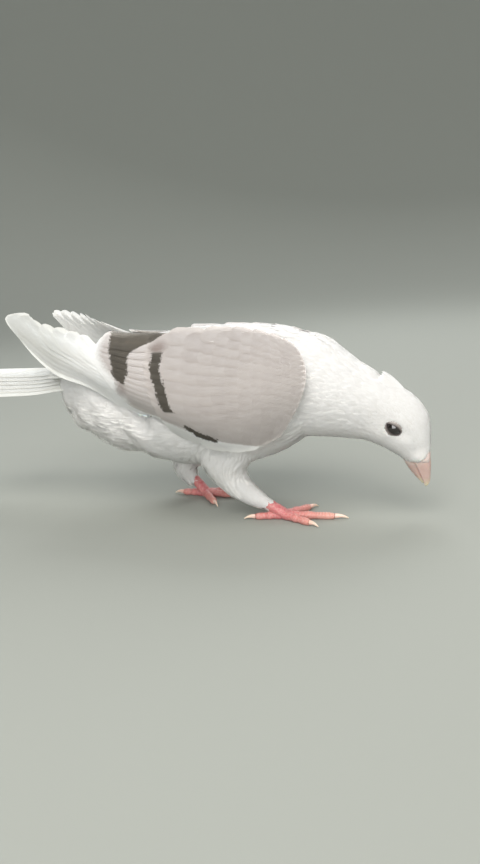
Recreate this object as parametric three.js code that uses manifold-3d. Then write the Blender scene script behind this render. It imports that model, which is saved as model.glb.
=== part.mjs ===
// A life-size still model of a small white owl pigeon with silver, barred wing shields, its head lowered.
// Millimetres. +X is where the bird walks, +Y is its left, +Z is up, and the floor is at Z = 0.
// Built round the floor's point half way between the feet, then moved to put the origin under its middle.
import * as THREE from 'three';
import { mergeVertices } from 'three/addons/utils/BufferGeometryUtils.js';
import Module from 'manifold-3d';

const wasm = await Module();
wasm.setup();

const RIGHT = -1;
const LEFT = 1;
const GAP = 0.3; // air left between two neighbouring pieces

// Driving sizes.
const EYE_RADIUS = 5;
const EYE_SUNK = 3.1; // the eye's centre lies this far under the skin
const HEAD_PITCH = 66; // degrees that the bill points below level
const VANE_THICKNESS = 0.55;
const TAIL_LENGTH = 103;
const TOE_RADIUS = 2.5;

// Plumage of the trunk, front to back: x, height of the widest line, reach up, reach down, half width.
const TRUNK = [
  [57, 74, 11, 9, 10],
  [50, 74, 26, 22, 26],
  [38, 72, 37.5, 30, 37],
  [20, 69, 43.5, 35, 41],
  [-4, 68, 45, 38, 42.5],
  [-30, 69, 42.8, 40, 41],
  [-56, 71, 37, 37, 36],
  [-80, 74, 30, 33, 29],
  [-98, 78, 21, 32, 22],
  [-110, 80, 14, 20, 16],
  [-115, 80, 8, 10, 10],
];

// Neck and head, root to bill: x, z, pitch below level in degrees, reach above, reach below, half width.
const NECK = [
  [30, 76, 6, 32, 30, 36],
  [44, 76, 12, 30, 30, 33],
  [58, 73, 20, 25.3, 28, 27],
  [71, 67.5, 28, 20.5, 24, 22],
  [82, 62, 36, 18.8, 20.5, 17.8],
  [91, 57, 46, 19, 17.5, 15.4],
  [98.5, 51, 58, 17.8, 16, 13.4],
  [103.7, 43.8, 65, 12.8, 12.2, 10.2],
  [106.8, 37.4, 68, 9, 8.4, 7],
  [108.4, 33.4, 69, 6.6, 6.2, 4.8],
];

// The folded wing's outer face, shoulder to tip, as three rails: upper edge, middle and lower edge.
const WING_UPPER = [
  [46, -24, 103.5],
  [25, -15, 111.5],
  [2, -11, 114],
  [-24, -10, 114],
  [-50, -10, 113.5],
  [-72, -13.5, 111.5],
  [-92, -19.5, 113],
  [-112, -24.5, 120.5],
  [-131, -27, 129],
];
const WING_MIDDLE = [
  [57, -37.5, 85],
  [31, -48.5, 83],
  [6, -50.5, 81],
  [-18, -48.5, 83],
  [-43, -44.5, 88],
  [-66, -38.5, 94],
  [-88, -33.5, 100],
  [-111, -30.5, 109],
  [-138.5, -29, 126],
];
const WING_LOWER = [
  [43, -40, 56],
  [25, -44, 49],
  [5, -44.5, 49.5],
  [-14, -43, 55],
  [-37, -40, 64],
  [-60, -38, 74],
  [-84, -36, 87],
  [-107, -34, 96.5],
  [-133, -31, 117],
];
const LEFT_TIP_SHIFT = [-6, 1, 2.5]; // the left wing's tip is held a little further back and higher

const deg = THREE.MathUtils.degToRad;
const lerp = THREE.MathUtils.lerp;

// A small repeatable random source, so that every build is the same.
function seeded(seed) {
  let state = seed;
  return () => {
    state = (state * 1664525 + 1013904223) % 4294967296;
    return state / 4294967296 - 0.5;
  };
}

// Rows of numbers read as smooth curves: u runs from 0 at the first row to 1 at the last.
function smooth(rows, u) {
  const last = rows.length - 1;
  const along = Math.min(Math.max(u, 0), 1) * last;
  const k = Math.min(Math.floor(along), last - 1);
  const f = along - k;
  const row = (i) => rows[Math.min(Math.max(i, 0), last)];
  return rows[k].map((_, c) => {
    const [a, b, d, e] = [row(k - 1)[c], row(k)[c], row(k + 1)[c], row(k + 2)[c]];
    return b + 0.5 * f * (d - a + f * (2 * a - 5 * b + 4 * d - e + f * (3 * (b - d) + e - a)));
  });
}

// A closed mesh becomes a solid that can be joined and cut, turned the right way out.
function solid(geometry) {
  const bare = new THREE.BufferGeometry();
  bare.setAttribute('position', geometry.getAttribute('position'));
  bare.setIndex(geometry.index);
  const merged = mergeVertices(bare, 1e-4);
  const corner = merged.index.array;
  const faces = [];
  for (let i = 0; i < corner.length; i += 3) {
    const [a, b, c] = [corner[i], corner[i + 1], corner[i + 2]];
    if (a !== b && b !== c && c !== a) faces.push(a, b, c);
  }
  const make = (triVerts) =>
    new wasm.Manifold(
      new wasm.Mesh({
        numProp: 3,
        vertProperties: new Float32Array(merged.attributes.position.array),
        triVerts: new Uint32Array(triVerts),
      }),
    );
  const made = make(faces);
  return made.volume() > 0 ? made : make(faces.reverse());
}

const join = (pieces) => pieces.reduce((whole, piece) => whole.add(piece));

// The largest closed body of a solid, without loose scraps.
function largest(whole) {
  const bodies = whole.decompose();
  return bodies.reduce((best, body) => (body.volume() > best.volume() ? body : best));
}

// A closed skin of rings: place(u, angle) gives its points, and the two end rings are closed flat.
function lofted(sides, rings, place) {
  const ball = new THREE.SphereGeometry(1, sides, rings + 1);
  const spots = ball.getAttribute('position');
  const centre = (u) => {
    const sum = new THREE.Vector3();
    for (let i = 0; i < sides; i++) sum.add(place(u, (2 * Math.PI * i) / sides));
    return sum.divideScalar(sides);
  };
  for (let i = 0; i < spots.count; i++) {
    const ring = Math.round((Math.acos(THREE.MathUtils.clamp(spots.getY(i), -1, 1)) / Math.PI) * (rings + 1));
    const column = i % (sides + 1);
    const u = THREE.MathUtils.clamp((ring - 1) / (rings - 1), 0, 1);
    const end = ring === 0 || ring === rings + 1;
    const p = end ? centre(u) : place(u, (2 * Math.PI * (column % sides)) / sides);
    spots.setXYZ(i, p.x, p.y, p.z);
  }
  return solid(ball);
}

// A rounded oval: 0 is its top, a quarter turn its left. The exponent squares or points it.
function oval(angle, up, down, half, exponent) {
  const [c, s] = [Math.cos(angle), Math.sin(angle)];
  const power = (v) => Math.sign(v) * Math.abs(v) ** (2 / exponent);
  return [half * power(s), (c > 0 ? up : down) * power(c)];
}

// Moves only the first ring back and only the last ring forward, so that a grown loft keeps its other rings.
const outward = (u, grow) => (u === 0 ? -grow : 0) + (u === 1 ? grow : 0);

// A tube along rows of x, y, z, half height and half width. Its height is measured towards the vector above.
function tube(sides, rings, rows, above, grow = 0) {
  return lofted(sides, rings, (u, angle) => {
    const at = (v) => new THREE.Vector3(...smooth(rows, v).slice(0, 3));
    const ahead = at(Math.min(u + 0.02, 1)).sub(at(Math.max(u - 0.02, 0))).normalize();
    const across = above.clone().cross(ahead).normalize();
    const [tall, wide] = smooth(rows, u).slice(3);
    return at(u)
      .addScaledVector(ahead.clone().cross(across), Math.cos(angle) * (tall + grow))
      .addScaledVector(across, Math.sin(angle) * (wide + grow));
  });
}

function trunk(grow = 0) {
  return lofted(22, 16, (u, angle) => {
    const [x, z, up, down, half] = smooth(TRUNK, u);
    const top = Math.cos(angle) > 0;
    const [y, dz] = oval(angle, up + grow, down + grow, half + grow, top ? 1.85 : 2.25);
    return new THREE.Vector3(x + outward(u, -grow), y, z + dz);
  });
}

function neckPoint(u, angle, grow = 0) {
  const [x, z, pitch, up, down, half] = smooth(NECK, u);
  const [y, rise] = oval(angle, up + grow, down + grow, half + grow, 2.05);
  return new THREE.Vector3(x + rise * Math.sin(deg(pitch)), y, z + rise * Math.cos(deg(pitch)));
}

const neckAndHead = (grow = 0) => lofted(20, 18, (u, angle) => neckPoint(u, angle, grow));

// Cuts a solid in two at a plane through (x, z) that faces along pitch, and leaves a gap.
function parted(whole, x, z, pitch) {
  const ahead = [Math.cos(deg(pitch)), 0, -Math.sin(deg(pitch))];
  const reach = ahead[0] * x + ahead[2] * z;
  const behind = ahead.map((v) => -v);
  const rear = whole.trimByPlane(behind, -reach + GAP / 2);
  return [largest(rear), largest(whole.trimByPlane(ahead, reach + GAP / 2))];
}

// The head's own frame: the eye is its origin, h runs to the bill's tip and u to the crown.
const EYE = new THREE.Vector3(97.2, 0, 53.2);
function onHead(h, y, u) {
  const [c, s] = [Math.cos(deg(HEAD_PITCH)), Math.sin(deg(HEAD_PITCH))];
  return new THREE.Vector3(EYE.x + h * c + u * s, y, EYE.z - h * s + u * c);
}

// One half of the bill, base to tip: h, its upper line, its lower line, half width.
const BILL_UPPER = [
  [14, 10.4, 0.2, 5],
  [19, 10.3, 0.2, 4.6],
  [25, 9, 0.1, 3.8],
  [30.5, 6.9, -0.3, 2.9],
  [35, 4.2, -1.2, 1.9],
  [37.6, 1.2, -1.9, 1],
  [38.4, -0.6, -1.8, 0.4],
];
const BILL_LOWER = [
  [14, -0.2, -5.6, 4.8],
  [19, -0.2, -5.6, 4.3],
  [25, -0.3, -5, 3.5],
  [30, -0.8, -4, 2.5],
  [33.5, -1.7, -3, 1.5],
  [35.2, -2.2, -2.7, 0.5],
];

function billHalf(rows, top, grow = 0) {
  return lofted(12, 9, (u, angle) => {
    const [h, upper, lower, half] = smooth(rows, u);
    const edge = top ? lower - grow : upper + grow;
    const [y, rise] = oval(angle, upper - lower + grow, upper - lower + grow, half + grow, 2.1);
    const bulge = top ? Math.max(rise, 0) : Math.min(rise, 0);
    return onHead(h + outward(u, grow), y, edge + bulge);
  });
}

// An egg shape with its own three half lengths, set in the head's frame.
function egg(h, y, u, alongH, alongY, alongU, grow = 0) {
  return lofted(8, 6, (v, angle) => {
    const turn = 0.02 + 0.96 * v;
    const round = Math.sin(Math.PI * turn);
    return onHead(
      h - (alongH + grow) * Math.cos(Math.PI * turn),
      y + (alongY + grow) * round * Math.sin(angle),
      u + (alongU + grow) * round * Math.cos(angle),
    );
  });
}

function ball(centre, radius, sides = 14, rings = 8) {
  const shape = new THREE.SphereGeometry(radius, sides, rings);
  shape.translate(centre.x, centre.y, centre.z);
  return solid(shape);
}

// The spot of the head's left side level with the eye, and the way the skin faces there.
function eyeSpot() {
  const level = (u, angle) => {
    const p = neckPoint(u, angle);
    return Math.hypot(p.x - EYE.x, p.z - EYE.z);
  };
  let [u, angle] = [0.65, Math.PI / 2];
  for (let step = 0.1; step > 1e-4; step *= 0.7) {
    for (const [du, da] of [[step, 0], [-step, 0], [0, step], [0, -step]]) {
      if (level(u + du, angle + da) < level(u, angle)) [u, angle] = [u + du, angle + da];
    }
  }
  const along = neckPoint(u + 0.01, angle).sub(neckPoint(u - 0.01, angle));
  const round = neckPoint(u, angle + 0.05).sub(neckPoint(u, angle - 0.05));
  const out = along.cross(round).normalize();
  return { spot: neckPoint(u, angle), out: out.multiplyScalar(Math.sign(out.y)) };
}

const SOCKET = eyeSpot();
const mirrored = (v, side) => new THREE.Vector3(v.x, side * v.y, v.z);
const eyeCentre = (side) => mirrored(SOCKET.spot.clone().addScaledVector(SOCKET.out, -EYE_SUNK), side);

// The bare rim round the eye: a ring that lies on the side of the head, a little longer than high.
function lid(side) {
  const ring = new THREE.TorusGeometry(Math.sqrt(EYE_RADIUS ** 2 - EYE_SUNK ** 2) + 0.6, 0.9, 4, 13);
  ring.scale(1.1, 0.96, 0.8);
  ring.rotateZ(deg(-HEAD_PITCH));
  const out = mirrored(SOCKET.out, side);
  ring.rotateX(deg(90));
  ring.applyQuaternion(new THREE.Quaternion().setFromUnitVectors(new THREE.Vector3(0, side, 0), out));
  ring.translate(...mirrored(SOCKET.spot, side).addScaledVector(out, -0.1).toArray());
  return solid(ring);
}

// One flat feather, its two faces split alike. spot(along, across, lift) gives a point of it: along runs
// from 0 at the root to 1 at the tip, across and lift are in millimetres. The shaft is a low ridge.
function vane(spot, half, steps, roundFrom, shaft = 0.2) {
  const columns = shaft ? [-1, 0, 1] : [-1, 1];
  const width = columns.length;
  const points = [];
  for (const face of [1, -1]) {
    for (let i = 0; i <= steps; i++) {
      const u = 1 - (1 - i / steps) ** 1.4;
      const turn = (0.92 * Math.max(0, u - roundFrom)) / (1 - roundFrom);
      const wide = half * Math.sqrt(1 - turn * turn) * lerp(0.6, 1, Math.min(1, u * 2.2));
      const thick = VANE_THICKNESS * lerp(1.1, 0.9, u);
      for (const c of columns) {
        const ridge = c === 0 && face === 1 ? shaft * (1 - u) : 0;
        points.push(...spot(u, c * wide, (face * thick) / 2 + ridge).toArray());
      }
    }
  }
  const under = (steps + 1) * width;
  const faces = [];
  const quad = (a, b, c, d) => faces.push(a, b, c, a, c, d);
  for (let i = 0; i < steps; i++) {
    const low = i * width;
    const high = low + width - 1;
    for (let a = low; a < high; a++) {
      quad(a, a + 1, a + width + 1, a + width);
      quad(under + a, under + a + width, under + a + width + 1, under + a + 1);
    }
    quad(low, low + width, under + low + width, under + low);
    quad(high + width, high, under + high, under + high + width);
  }
  for (let j = 0; j < width - 1; j++) {
    const tip = steps * width + j;
    quad(j + 1, j, under + j, under + j + 1);
    quad(tip, tip + 1, under + tip + 1, under + tip);
  }
  const shape = new THREE.BufferGeometry();
  shape.setAttribute('position', new THREE.Float32BufferAttribute(points, 3));
  shape.setIndex(faces);
  return solid(shape);
}

// The outer face of a folded wing. s runs from the shoulder to the tip, low is the distance above the lower
// edge in millimetres and lift is out from the face. width(s) is the wing's height there, along the face.
function wingFace(side) {
  const at = (s, t) => {
    const [low, mid, high] = [WING_LOWER, WING_MIDDLE, WING_UPPER].map((rail) => smooth(rail, s));
    const [a, b, c] = [(1 - t) * (1 - 2 * t), 4 * t * (1 - t), t * (2 * t - 1)];
    const p = low.map((v, k) => a * v + b * mid[k] + c * high[k]);
    const pull = side === LEFT ? THREE.MathUtils.smoothstep(s, 0.5, 1) : 0;
    const [dx, dy, dz] = LEFT_TIP_SHIFT.map((v) => v * pull);
    return new THREE.Vector3(p[0] + dx, -side * p[1] + dy, p[2] + dz);
  };
  const step = 0.004;
  const width = (s) => at(s, 0).distanceTo(at(s, 0.5)) + at(s, 0.5).distanceTo(at(s, 1));
  const point = (s, low, lift = 0) => {
    const t = low / width(s);
    const along = at(Math.min(s + step, 1), t).sub(at(Math.max(s - step, 0), t));
    const across = at(s, t + step).sub(at(s, t - step));
    const out = along.cross(across).normalize().multiplyScalar(side);
    return at(s, t).addScaledVector(out, lift);
  };
  return { point, width };
}

// The fleshy wing under its coverts: thick over the arm, thinning to its edges and to the feathers' roots.
const PAD_END = 0.56;
const PAD_DEPTH = 1.1; // the coverts stand this far above it
function wingPad({ point, width }) {
  return lofted(14, 10, (u, angle) => {
    const s = 0.004 + (PAD_END - 0.004) * u;
    const c = Math.cos(angle);
    const squash = 0.47 * Math.min(1, 0.8 + u * 3);
    const low = width(s) * (0.5 + squash * Math.sign(c) * Math.abs(c) ** 0.9);
    const end = Math.min(1, Math.sqrt(u / 0.1)) * Math.min(1, Math.sqrt((1 - u) / 0.15));
    const deep = lerp(15, 6, u) * Math.sqrt(Math.max(0, 1 - c * c)) * Math.max(end, 0.15);
    return point(s, low, Math.sin(angle) > 0 ? -PAD_DEPTH : -PAD_DEPTH - Math.max(deep, 0.6));
  });
}

// A feather lying on the wing from root to tip, both [s, low, lift], tilted so that its lower edge shows.
function wingVane({ point }, root, tip, half, steps, roundFrom, tilt, shaft) {
  const spot = (u, across, thick) => {
    const [s, low, lift] = root.map((v, k) => lerp(v, tip[k], u));
    return point(s, low + across, lift - across * tilt + thick);
  };
  return vane(spot, half, steps, roundFrom, shaft);
}

// How far each primary's tip stops short of the wing's tip, outermost and lowest feather first.
const PRIMARY_SHORT = [4, 0, 2, 6, 12, 19, 27, 35, 43, 51];
const CHORD = 190;
const SECONDARIES = 8;

function primaries(face) {
  return PRIMARY_SHORT.map((short, k) => {
    const tipS = 1 - short / CHORD;
    const rise = lerp(4.6, face.width(tipS) - 3.4, Math.min(1, k / 3));
    const outer = k < 3; // the inner ones only show beyond the secondaries
    const rootS = outer ? 0.27 + 0.05 * k : 0.42 + 0.013 * k;
    const root = [rootS, 5.8 + 4 * k, -6.2 + 0.36 * k];
    return wingVane(face, root, [tipS, rise, -4.2 + 0.36 * k], 7, outer ? 6 : 4, outer ? 0.92 : 0.86, 0.2, 0);
  });
}

function secondaries(face) {
  return Array.from({ length: SECONDARIES }, (_, k) => {
    const share = k / (SECONDARIES - 1);
    const tipS = 0.58 + 0.085 * Math.sin(2.1 * share);
    const root = [0.32 + 0.03 * share, lerp(15, face.width(0.33) * 0.9, share), -3.2 + 0.05 * k];
    const tip = [tipS, lerp(12.5, face.width(tipS) - 3, share), -0.8 + 0.05 * k];
    return wingVane(face, root, tip, 7.6, 4, 0.66, 0.17, k === SECONDARIES - 1 ? 0.25 : 0);
  });
}

// A row of coverts across the whole wing: count, tips at s, roots at s, half width, height of the tips.
function coverts(face, count, tipS, rootS, half, lift) {
  return Array.from({ length: count }, (_, k) => {
    const share = k / (count - 1);
    const lag = 0.05 * share;
    const row = (s) => face.width(s) * lerp(0.15, 0.88, share);
    const root = [rootS + lag, row(rootS + lag), -2.4];
    return wingVane(face, root, [tipS + lag, row(tipS + lag), lift], half, 4, 0.62, 0.12, 0);
  });
}

function wing(side, clear) {
  const face = wingFace(side);
  const pieces = [
    wingPad(face),
    ...primaries(face),
    ...secondaries(face),
    ...coverts(face, 7, 0.41, 0.29, 7.9, 0.5),
    ...coverts(face, 6, 0.28, 0.18, 8.8, 0.6),
  ];
  return largest(clear.reduce((rest, piece) => rest.subtract(piece), join(pieces)));
}

// The tail: twelve feathers, the middle pair on top, in a low roof, and a few coverts over and under them.
const TAIL_ROOT_X = -91;
const TAIL_RIDGE_Z = 89.5;
const TAIL_LAYER = 0.88; // from one feather's face to the next one's
function tailVane(side, place, length, half, layer, steps, roundFrom, shaft) {
  const spot = (u, across, thick) => {
    const y = side * place(u) + across;
    const roof = 0.5 * Math.max(0, Math.abs(y) - 2);
    return new THREE.Vector3(TAIL_ROOT_X - length * u, y, TAIL_RIDGE_Z - roof - layer + thick);
  };
  return vane(spot, half, steps, roundFrom, shaft);
}

function tail(clear) {
  const pieces = [];
  for (let k = 0; k < 6; k++) {
    for (const side of [RIGHT, LEFT]) {
      const layer = TAIL_LAYER * (2 * k + (side === LEFT ? 1 : 0));
      const place = (u) => 1 + lerp(1.8, 3.1, u) * k;
      const shaft = k === 0 && side === RIGHT ? 0.25 : 0;
      pieces.push(tailVane(side, place, TAIL_LENGTH - 0.9 * k, 8.6, layer, 4, 0.9, shaft));
    }
  }
  for (const [k, side] of [[0, LEFT], [1, RIGHT], [1, LEFT], [2, RIGHT], [2, LEFT]]) {
    pieces.push(tailVane(side, (u) => lerp(4.2, 6.5, u) * k, 37 - 3 * k, 7, -0.9 - 0.2 * k, 3, 0.6, 0));
    pieces.push(tailVane(side, (u) => lerp(4.2, 5.5, u) * k, 35 - 3 * k, 8, 17.5 - 1.2 * k, 3, 0.6, 0));
  }
  const root = lofted(10, 3, (u, angle) => {
    const [y, dz] = oval(angle, 6.5, 13, 15, 2.2);
    const size = lerp(1, 0.72, u);
    return new THREE.Vector3(TAIL_ROOT_X + 5 - 30 * u, y * size, TAIL_RIDGE_Z - 6.5 + dz * size);
  });
  return largest(clear.reduce((rest, piece) => rest.subtract(piece), join([root, ...pieces])));
}

// Legs: the feathered thigh and stocking down to the bare foot. Rows: x, y, z, half depth, half width.
const FEET = {
  right: { side: RIGHT, centre: [32.5, -17.2], heading: 8 },
  left: { side: LEFT, centre: [-32.5, 17.2], heading: 0 },
};
const THIGHS = {
  right: [
    [4, -21, 54, 20, 14],
    [1, -20.5, 42, 19, 14],
    [0.5, -20, 33, 14.5, 12],
    [2.5, -19.2, 26, 10, 9.5],
    [7, -18.6, 19.5, 8, 7.6],
    [13, -18, 14.5, 6.6, 6.4],
    [19, -17.7, 10.8, 5.2, 5.2],
    [23.5, -17.4, 8.4, 3.9, 4],
  ],
  left: [
    [-26, 22, 54, 21, 14],
    [-32, 21.5, 44, 20, 14],
    [-38, 20.6, 35, 16, 12],
    [-43, 19.6, 27, 11.5, 9.5],
    [-45, 19, 21, 8.4, 7.8],
    [-43.5, 18.4, 15.5, 6.4, 6.4],
    [-41, 18, 11.8, 5, 5],
    [-39, 17.8, 9.4, 3.9, 4],
  ],
};
const TOES = [
  { name: 'inner', turn: 50, length: 21, claw: 7 },
  { name: 'middle', turn: 0, length: 30, claw: 8 },
  { name: 'outer', turn: -34, length: 20.5, claw: 6.5 },
  { name: 'hind', turn: 186, length: 16, claw: 7 },
];

const FORWARD = new THREE.Vector3(1, 0, 0);
const UPWARD = new THREE.Vector3(0, 0, 1);
const thigh = (rows, grow = 0) => tube(14, 10, rows, FORWARD, grow);

// The way along one toe from the ball of the foot outwards.
function toeLine({ side, centre, heading }, toe) {
  const way = deg(heading - side * toe.turn);
  return (d) => [centre[0] + d * Math.cos(way), centre[1] + d * Math.sin(way)];
}

function shank(key, grow = 0) {
  const [x, y, z] = THIGHS[key].at(-3);
  const [cx, cy] = FEET[key].centre;
  const rows = [
    [x, y, z, 2.8, 2.8],
    [lerp(x, cx, 0.5), lerp(y, cy, 0.5), lerp(z, 4, 0.5), 3, 3.2],
    [cx, cy, 3.6, 3.2, 3.6],
    [cx + 1.5, cy, 2.4, 2, 2.6],
  ];
  return tube(8, 5, rows, FORWARD, grow);
}

function foot(key) {
  const toes = TOES.map((toe) => {
    const out = toeLine(FEET[key], toe);
    const rows = Array.from({ length: 7 }, (_, i) => {
      const share = i / 6;
      const knuckle = 0.35 * (i % 2);
      const thick = TOE_RADIUS * lerp(1.05, 0.72, share) + knuckle;
      return [...out(toe.length * share), lerp(2.5, 1.75, share), thick * 0.95, thick];
    });
    return tube(7, 7, rows, UPWARD);
  });
  return join([shank(key), ...toes]).trimByPlane([0, 0, 1], 0);
}

function claw(key, toe) {
  const out = toeLine(FEET[key], toe);
  const rows = Array.from({ length: 5 }, (_, i) => {
    const share = i / 4;
    const thick = lerp(1.45, 0.3, share ** 1.2);
    const height = 1.9 + 0.9 * Math.sin(2.6 * share) - 1.7 * share;
    return [...out(toe.length + GAP + (toe.claw - GAP) * share), height, thick, thick * 0.8];
  });
  return tube(5, 4, rows, UPWARD).trimByPlane([0, 0, 1], 0);
}

// The peak: a few short pointed feathers that stand up at the nape.
const PEAK_FEATHERS = 9;
function peak() {
  const random = seeded(7);
  return Array.from({ length: PEAK_FEATHERS }, (_, k) => {
    const spread = (2 * k) / (PEAK_FEATHERS - 1) - 1;
    const reach = 17 - 4 * spread * spread + random();
    const drop = 2.8 * spread * spread - 0.45 * (k % 2);
    const spot = (u, across, thick) =>
      onHead(-12 - reach * u, spread * lerp(6.8, 2.6, u) + across, 10.4 - drop - 2.4 * u * u + thick);
    return vane(spot, 2.2, 3, 0.4, 0);
  });
}

// The whole trunk, neck and head are one skin, parted at the root of the neck and behind the head.
const NECK_ROOT = [50, 76, 14]; // x, z and pitch of the cut
const NAPE = [86, 60, 40];
const flesh = trunk().add(neckAndHead());
const [trunkPart, front] = parted(flesh, ...NECK_ROOT);
const [neckPart, headPart] = parted(front, ...NAPE);
const sides = [RIGHT, LEFT];
const cereEggs = (grow) => {
  const lobes = sides.map((side) => egg(17.6, side * 2.5, 9.2, 4.8, 2.8, 3.2, grow));
  return join([...lobes, egg(16.6, 0, 9.6, 3.4, 3, 2.7, grow)]);
};
const nostril = (side) => egg(20.6, side * 4.7, 7.4, 2.4, 0.9, 0.6);

// The head: lids and peak are joined to it, then the sockets, the bill, the cere and the neck are cut clear.
function head() {
  const formed = join([headPart, ...peak(), ...sides.map(lid)]);
  const cuts = [
    ...sides.map((side) => ball(eyeCentre(side), EYE_RADIUS + GAP)),
    billHalf(BILL_UPPER, true, GAP),
    billHalf(BILL_LOWER, false, GAP),
    cereEggs(GAP),
    parted(neckAndHead(GAP), ...NAPE)[0],
  ];
  return largest(cuts.reduce((rest, piece) => rest.subtract(piece), formed));
}

const keys = Object.keys(FEET);
const grownBody = [trunk(GAP), neckAndHead(GAP)];
const grownLegs = keys.map((key) => thigh(THIGHS[key], GAP));
const bare = { roughness: 0.55, metalness: 0 };
const MATERIALS = {
  white: new THREE.MeshStandardMaterial({ color: '#e9e7e2', roughness: 0.85, metalness: 0 }),
  silver: new THREE.MeshStandardMaterial({ color: '#cbc4be', roughness: 0.85, metalness: 0 }),
  skin: new THREE.MeshStandardMaterial({ color: '#cf6f6d', ...bare }),
  horn: new THREE.MeshStandardMaterial({ color: '#d9b9ab', ...bare, roughness: 0.4 }),
  cere: new THREE.MeshStandardMaterial({ color: '#e6ddd6', ...bare, roughness: 0.8 }),
  eye: new THREE.MeshStandardMaterial({ color: '#1c1412', roughness: 0.08, metalness: 0 }),
};

const bird = new THREE.Group();
function place(name, material, shape) {
  const { numProp, vertProperties, triVerts } = shape.getMesh();
  if (numProp !== 3) throw new Error(`${name} carries more than positions`);
  const geometry = new THREE.BufferGeometry();
  geometry.setAttribute('position', new THREE.BufferAttribute(new Float32Array(vertProperties), 3));
  geometry.setIndex(new THREE.BufferAttribute(new Uint32Array(triVerts), 1));
  const mesh = new THREE.Mesh(geometry, MATERIALS[material]);
  mesh.name = name;
  bird.add(mesh);
}

const upperBill = billHalf(BILL_UPPER, true);
place('torso', 'white', trunkPart);
place('neck', 'white', neckPart);
place('head', 'white', head());
place('bill_upper', 'horn', upperBill);
place('bill_lower', 'horn', billHalf(BILL_LOWER, false));
const cere = cereEggs(0).subtract(billHalf(BILL_UPPER, true, GAP)).subtract(join(sides.map(nostril)));
place('cere', 'cere', largest(cere));
for (const key of keys) {
  const { side } = FEET[key];
  const leg = thigh(THIGHS[key]).subtract(grownBody[0]).subtract(shank(key, GAP));
  place(`eye_${key}`, 'eye', ball(eyeCentre(side), EYE_RADIUS));
  place(`wing_${key}`, 'silver', wing(side, [...grownBody, ...grownLegs]));
  place(`leg_${key}`, 'white', largest(leg));
  place(`foot_${key}`, 'skin', largest(foot(key)));
  for (const toe of TOES) place(`claw_${key}_${toe.name}`, 'horn', largest(claw(key, toe)));
}
place('tail', 'white', tail([grownBody[0]]));

// The origin goes to the floor under the middle of the whole bird.
const box = new THREE.Box3().setFromObject(bird);
const middle = box.getCenter(new THREE.Vector3());
bird.position.set(-middle.x, -middle.y, -box.min.z);

export default bird;
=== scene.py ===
import math

import bpy
import numpy as np
from mathutils import Matrix, Vector, noise
from mathutils.bvhtree import BVHTree
from mathutils.kdtree import KDTree


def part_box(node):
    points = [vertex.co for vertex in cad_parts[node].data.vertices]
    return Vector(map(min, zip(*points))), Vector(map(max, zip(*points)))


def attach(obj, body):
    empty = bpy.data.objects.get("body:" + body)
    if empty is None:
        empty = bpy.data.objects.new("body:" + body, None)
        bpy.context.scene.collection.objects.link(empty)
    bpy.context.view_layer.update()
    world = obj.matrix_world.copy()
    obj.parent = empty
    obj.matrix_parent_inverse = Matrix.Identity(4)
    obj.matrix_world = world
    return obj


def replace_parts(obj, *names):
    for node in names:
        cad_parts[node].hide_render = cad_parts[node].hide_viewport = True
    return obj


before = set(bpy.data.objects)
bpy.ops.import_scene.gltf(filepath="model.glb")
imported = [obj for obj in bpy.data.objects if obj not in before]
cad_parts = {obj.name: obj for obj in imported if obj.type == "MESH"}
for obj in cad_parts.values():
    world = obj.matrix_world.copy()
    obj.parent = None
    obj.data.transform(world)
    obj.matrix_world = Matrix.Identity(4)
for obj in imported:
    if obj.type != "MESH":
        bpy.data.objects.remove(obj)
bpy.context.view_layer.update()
bpy.ops.object.select_all(action="DESELECT")

MM = 0.001
RIGHT, LEFT = -1, 1
SIDES = {"right": RIGHT, "left": LEFT}

# Plumage of the trunk, front to back: x, height of the widest line, reach up, reach down, half width.
TRUNK = [
    [57, 74, 11, 9, 10], [50, 74, 26, 22, 26], [38, 72, 37.5, 30, 37], [20, 69, 43.5, 35, 41],
    [-4, 68, 45, 38, 42.5], [-30, 69, 42.8, 40, 41], [-56, 71, 37, 37, 36], [-80, 74, 30, 33, 29],
    [-98, 78, 21, 32, 22], [-110, 80, 14, 20, 16], [-115, 80, 8, 10, 10],
]
TRUNK_END = -115

# Neck and head, root to bill: x, z, pitch below level in degrees, reach above, reach below, half width.
NECK = [
    [30, 76, 6, 32, 30, 36], [44, 76, 12, 30, 30, 33], [58, 73, 20, 25.3, 28, 27],
    [71, 67.5, 28, 20.5, 24, 22], [82, 62, 36, 18.8, 20.5, 17.8], [91, 57, 46, 19, 17.5, 15.4],
    [98.5, 51, 58, 17.8, 16, 13.4], [103.7, 43.8, 65, 12.8, 12.2, 10.2],
    [106.8, 37.4, 68, 9, 8.4, 7], [108.4, 33.4, 69, 6.6, 6.2, 4.8],
]

# The folded wing's outer face, shoulder to tip, as three rails.
WING_UPPER = [
    [46, -24, 103.5], [25, -15, 111.5], [2, -11, 114], [-24, -10, 114], [-50, -10, 113.5],
    [-72, -13.5, 111.5], [-92, -19.5, 113], [-112, -24.5, 120.5], [-131, -27, 129],
]
WING_MIDDLE = [
    [57, -37.5, 85], [31, -48.5, 83], [6, -50.5, 81], [-18, -48.5, 83], [-43, -44.5, 88],
    [-66, -38.5, 94], [-88, -33.5, 100], [-111, -30.5, 109], [-138.5, -29, 126],
]
WING_LOWER = [
    [43, -40, 56], [25, -44, 49], [5, -44.5, 49.5], [-14, -43, 55], [-37, -40, 64],
    [-60, -38, 74], [-84, -36, 87], [-107, -34, 96.5], [-133, -31, 117],
]
LEFT_TIP_SHIFT = [-6, 1, 2.5]
CHORD = 190  # the folded wing from shoulder to tip

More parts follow.
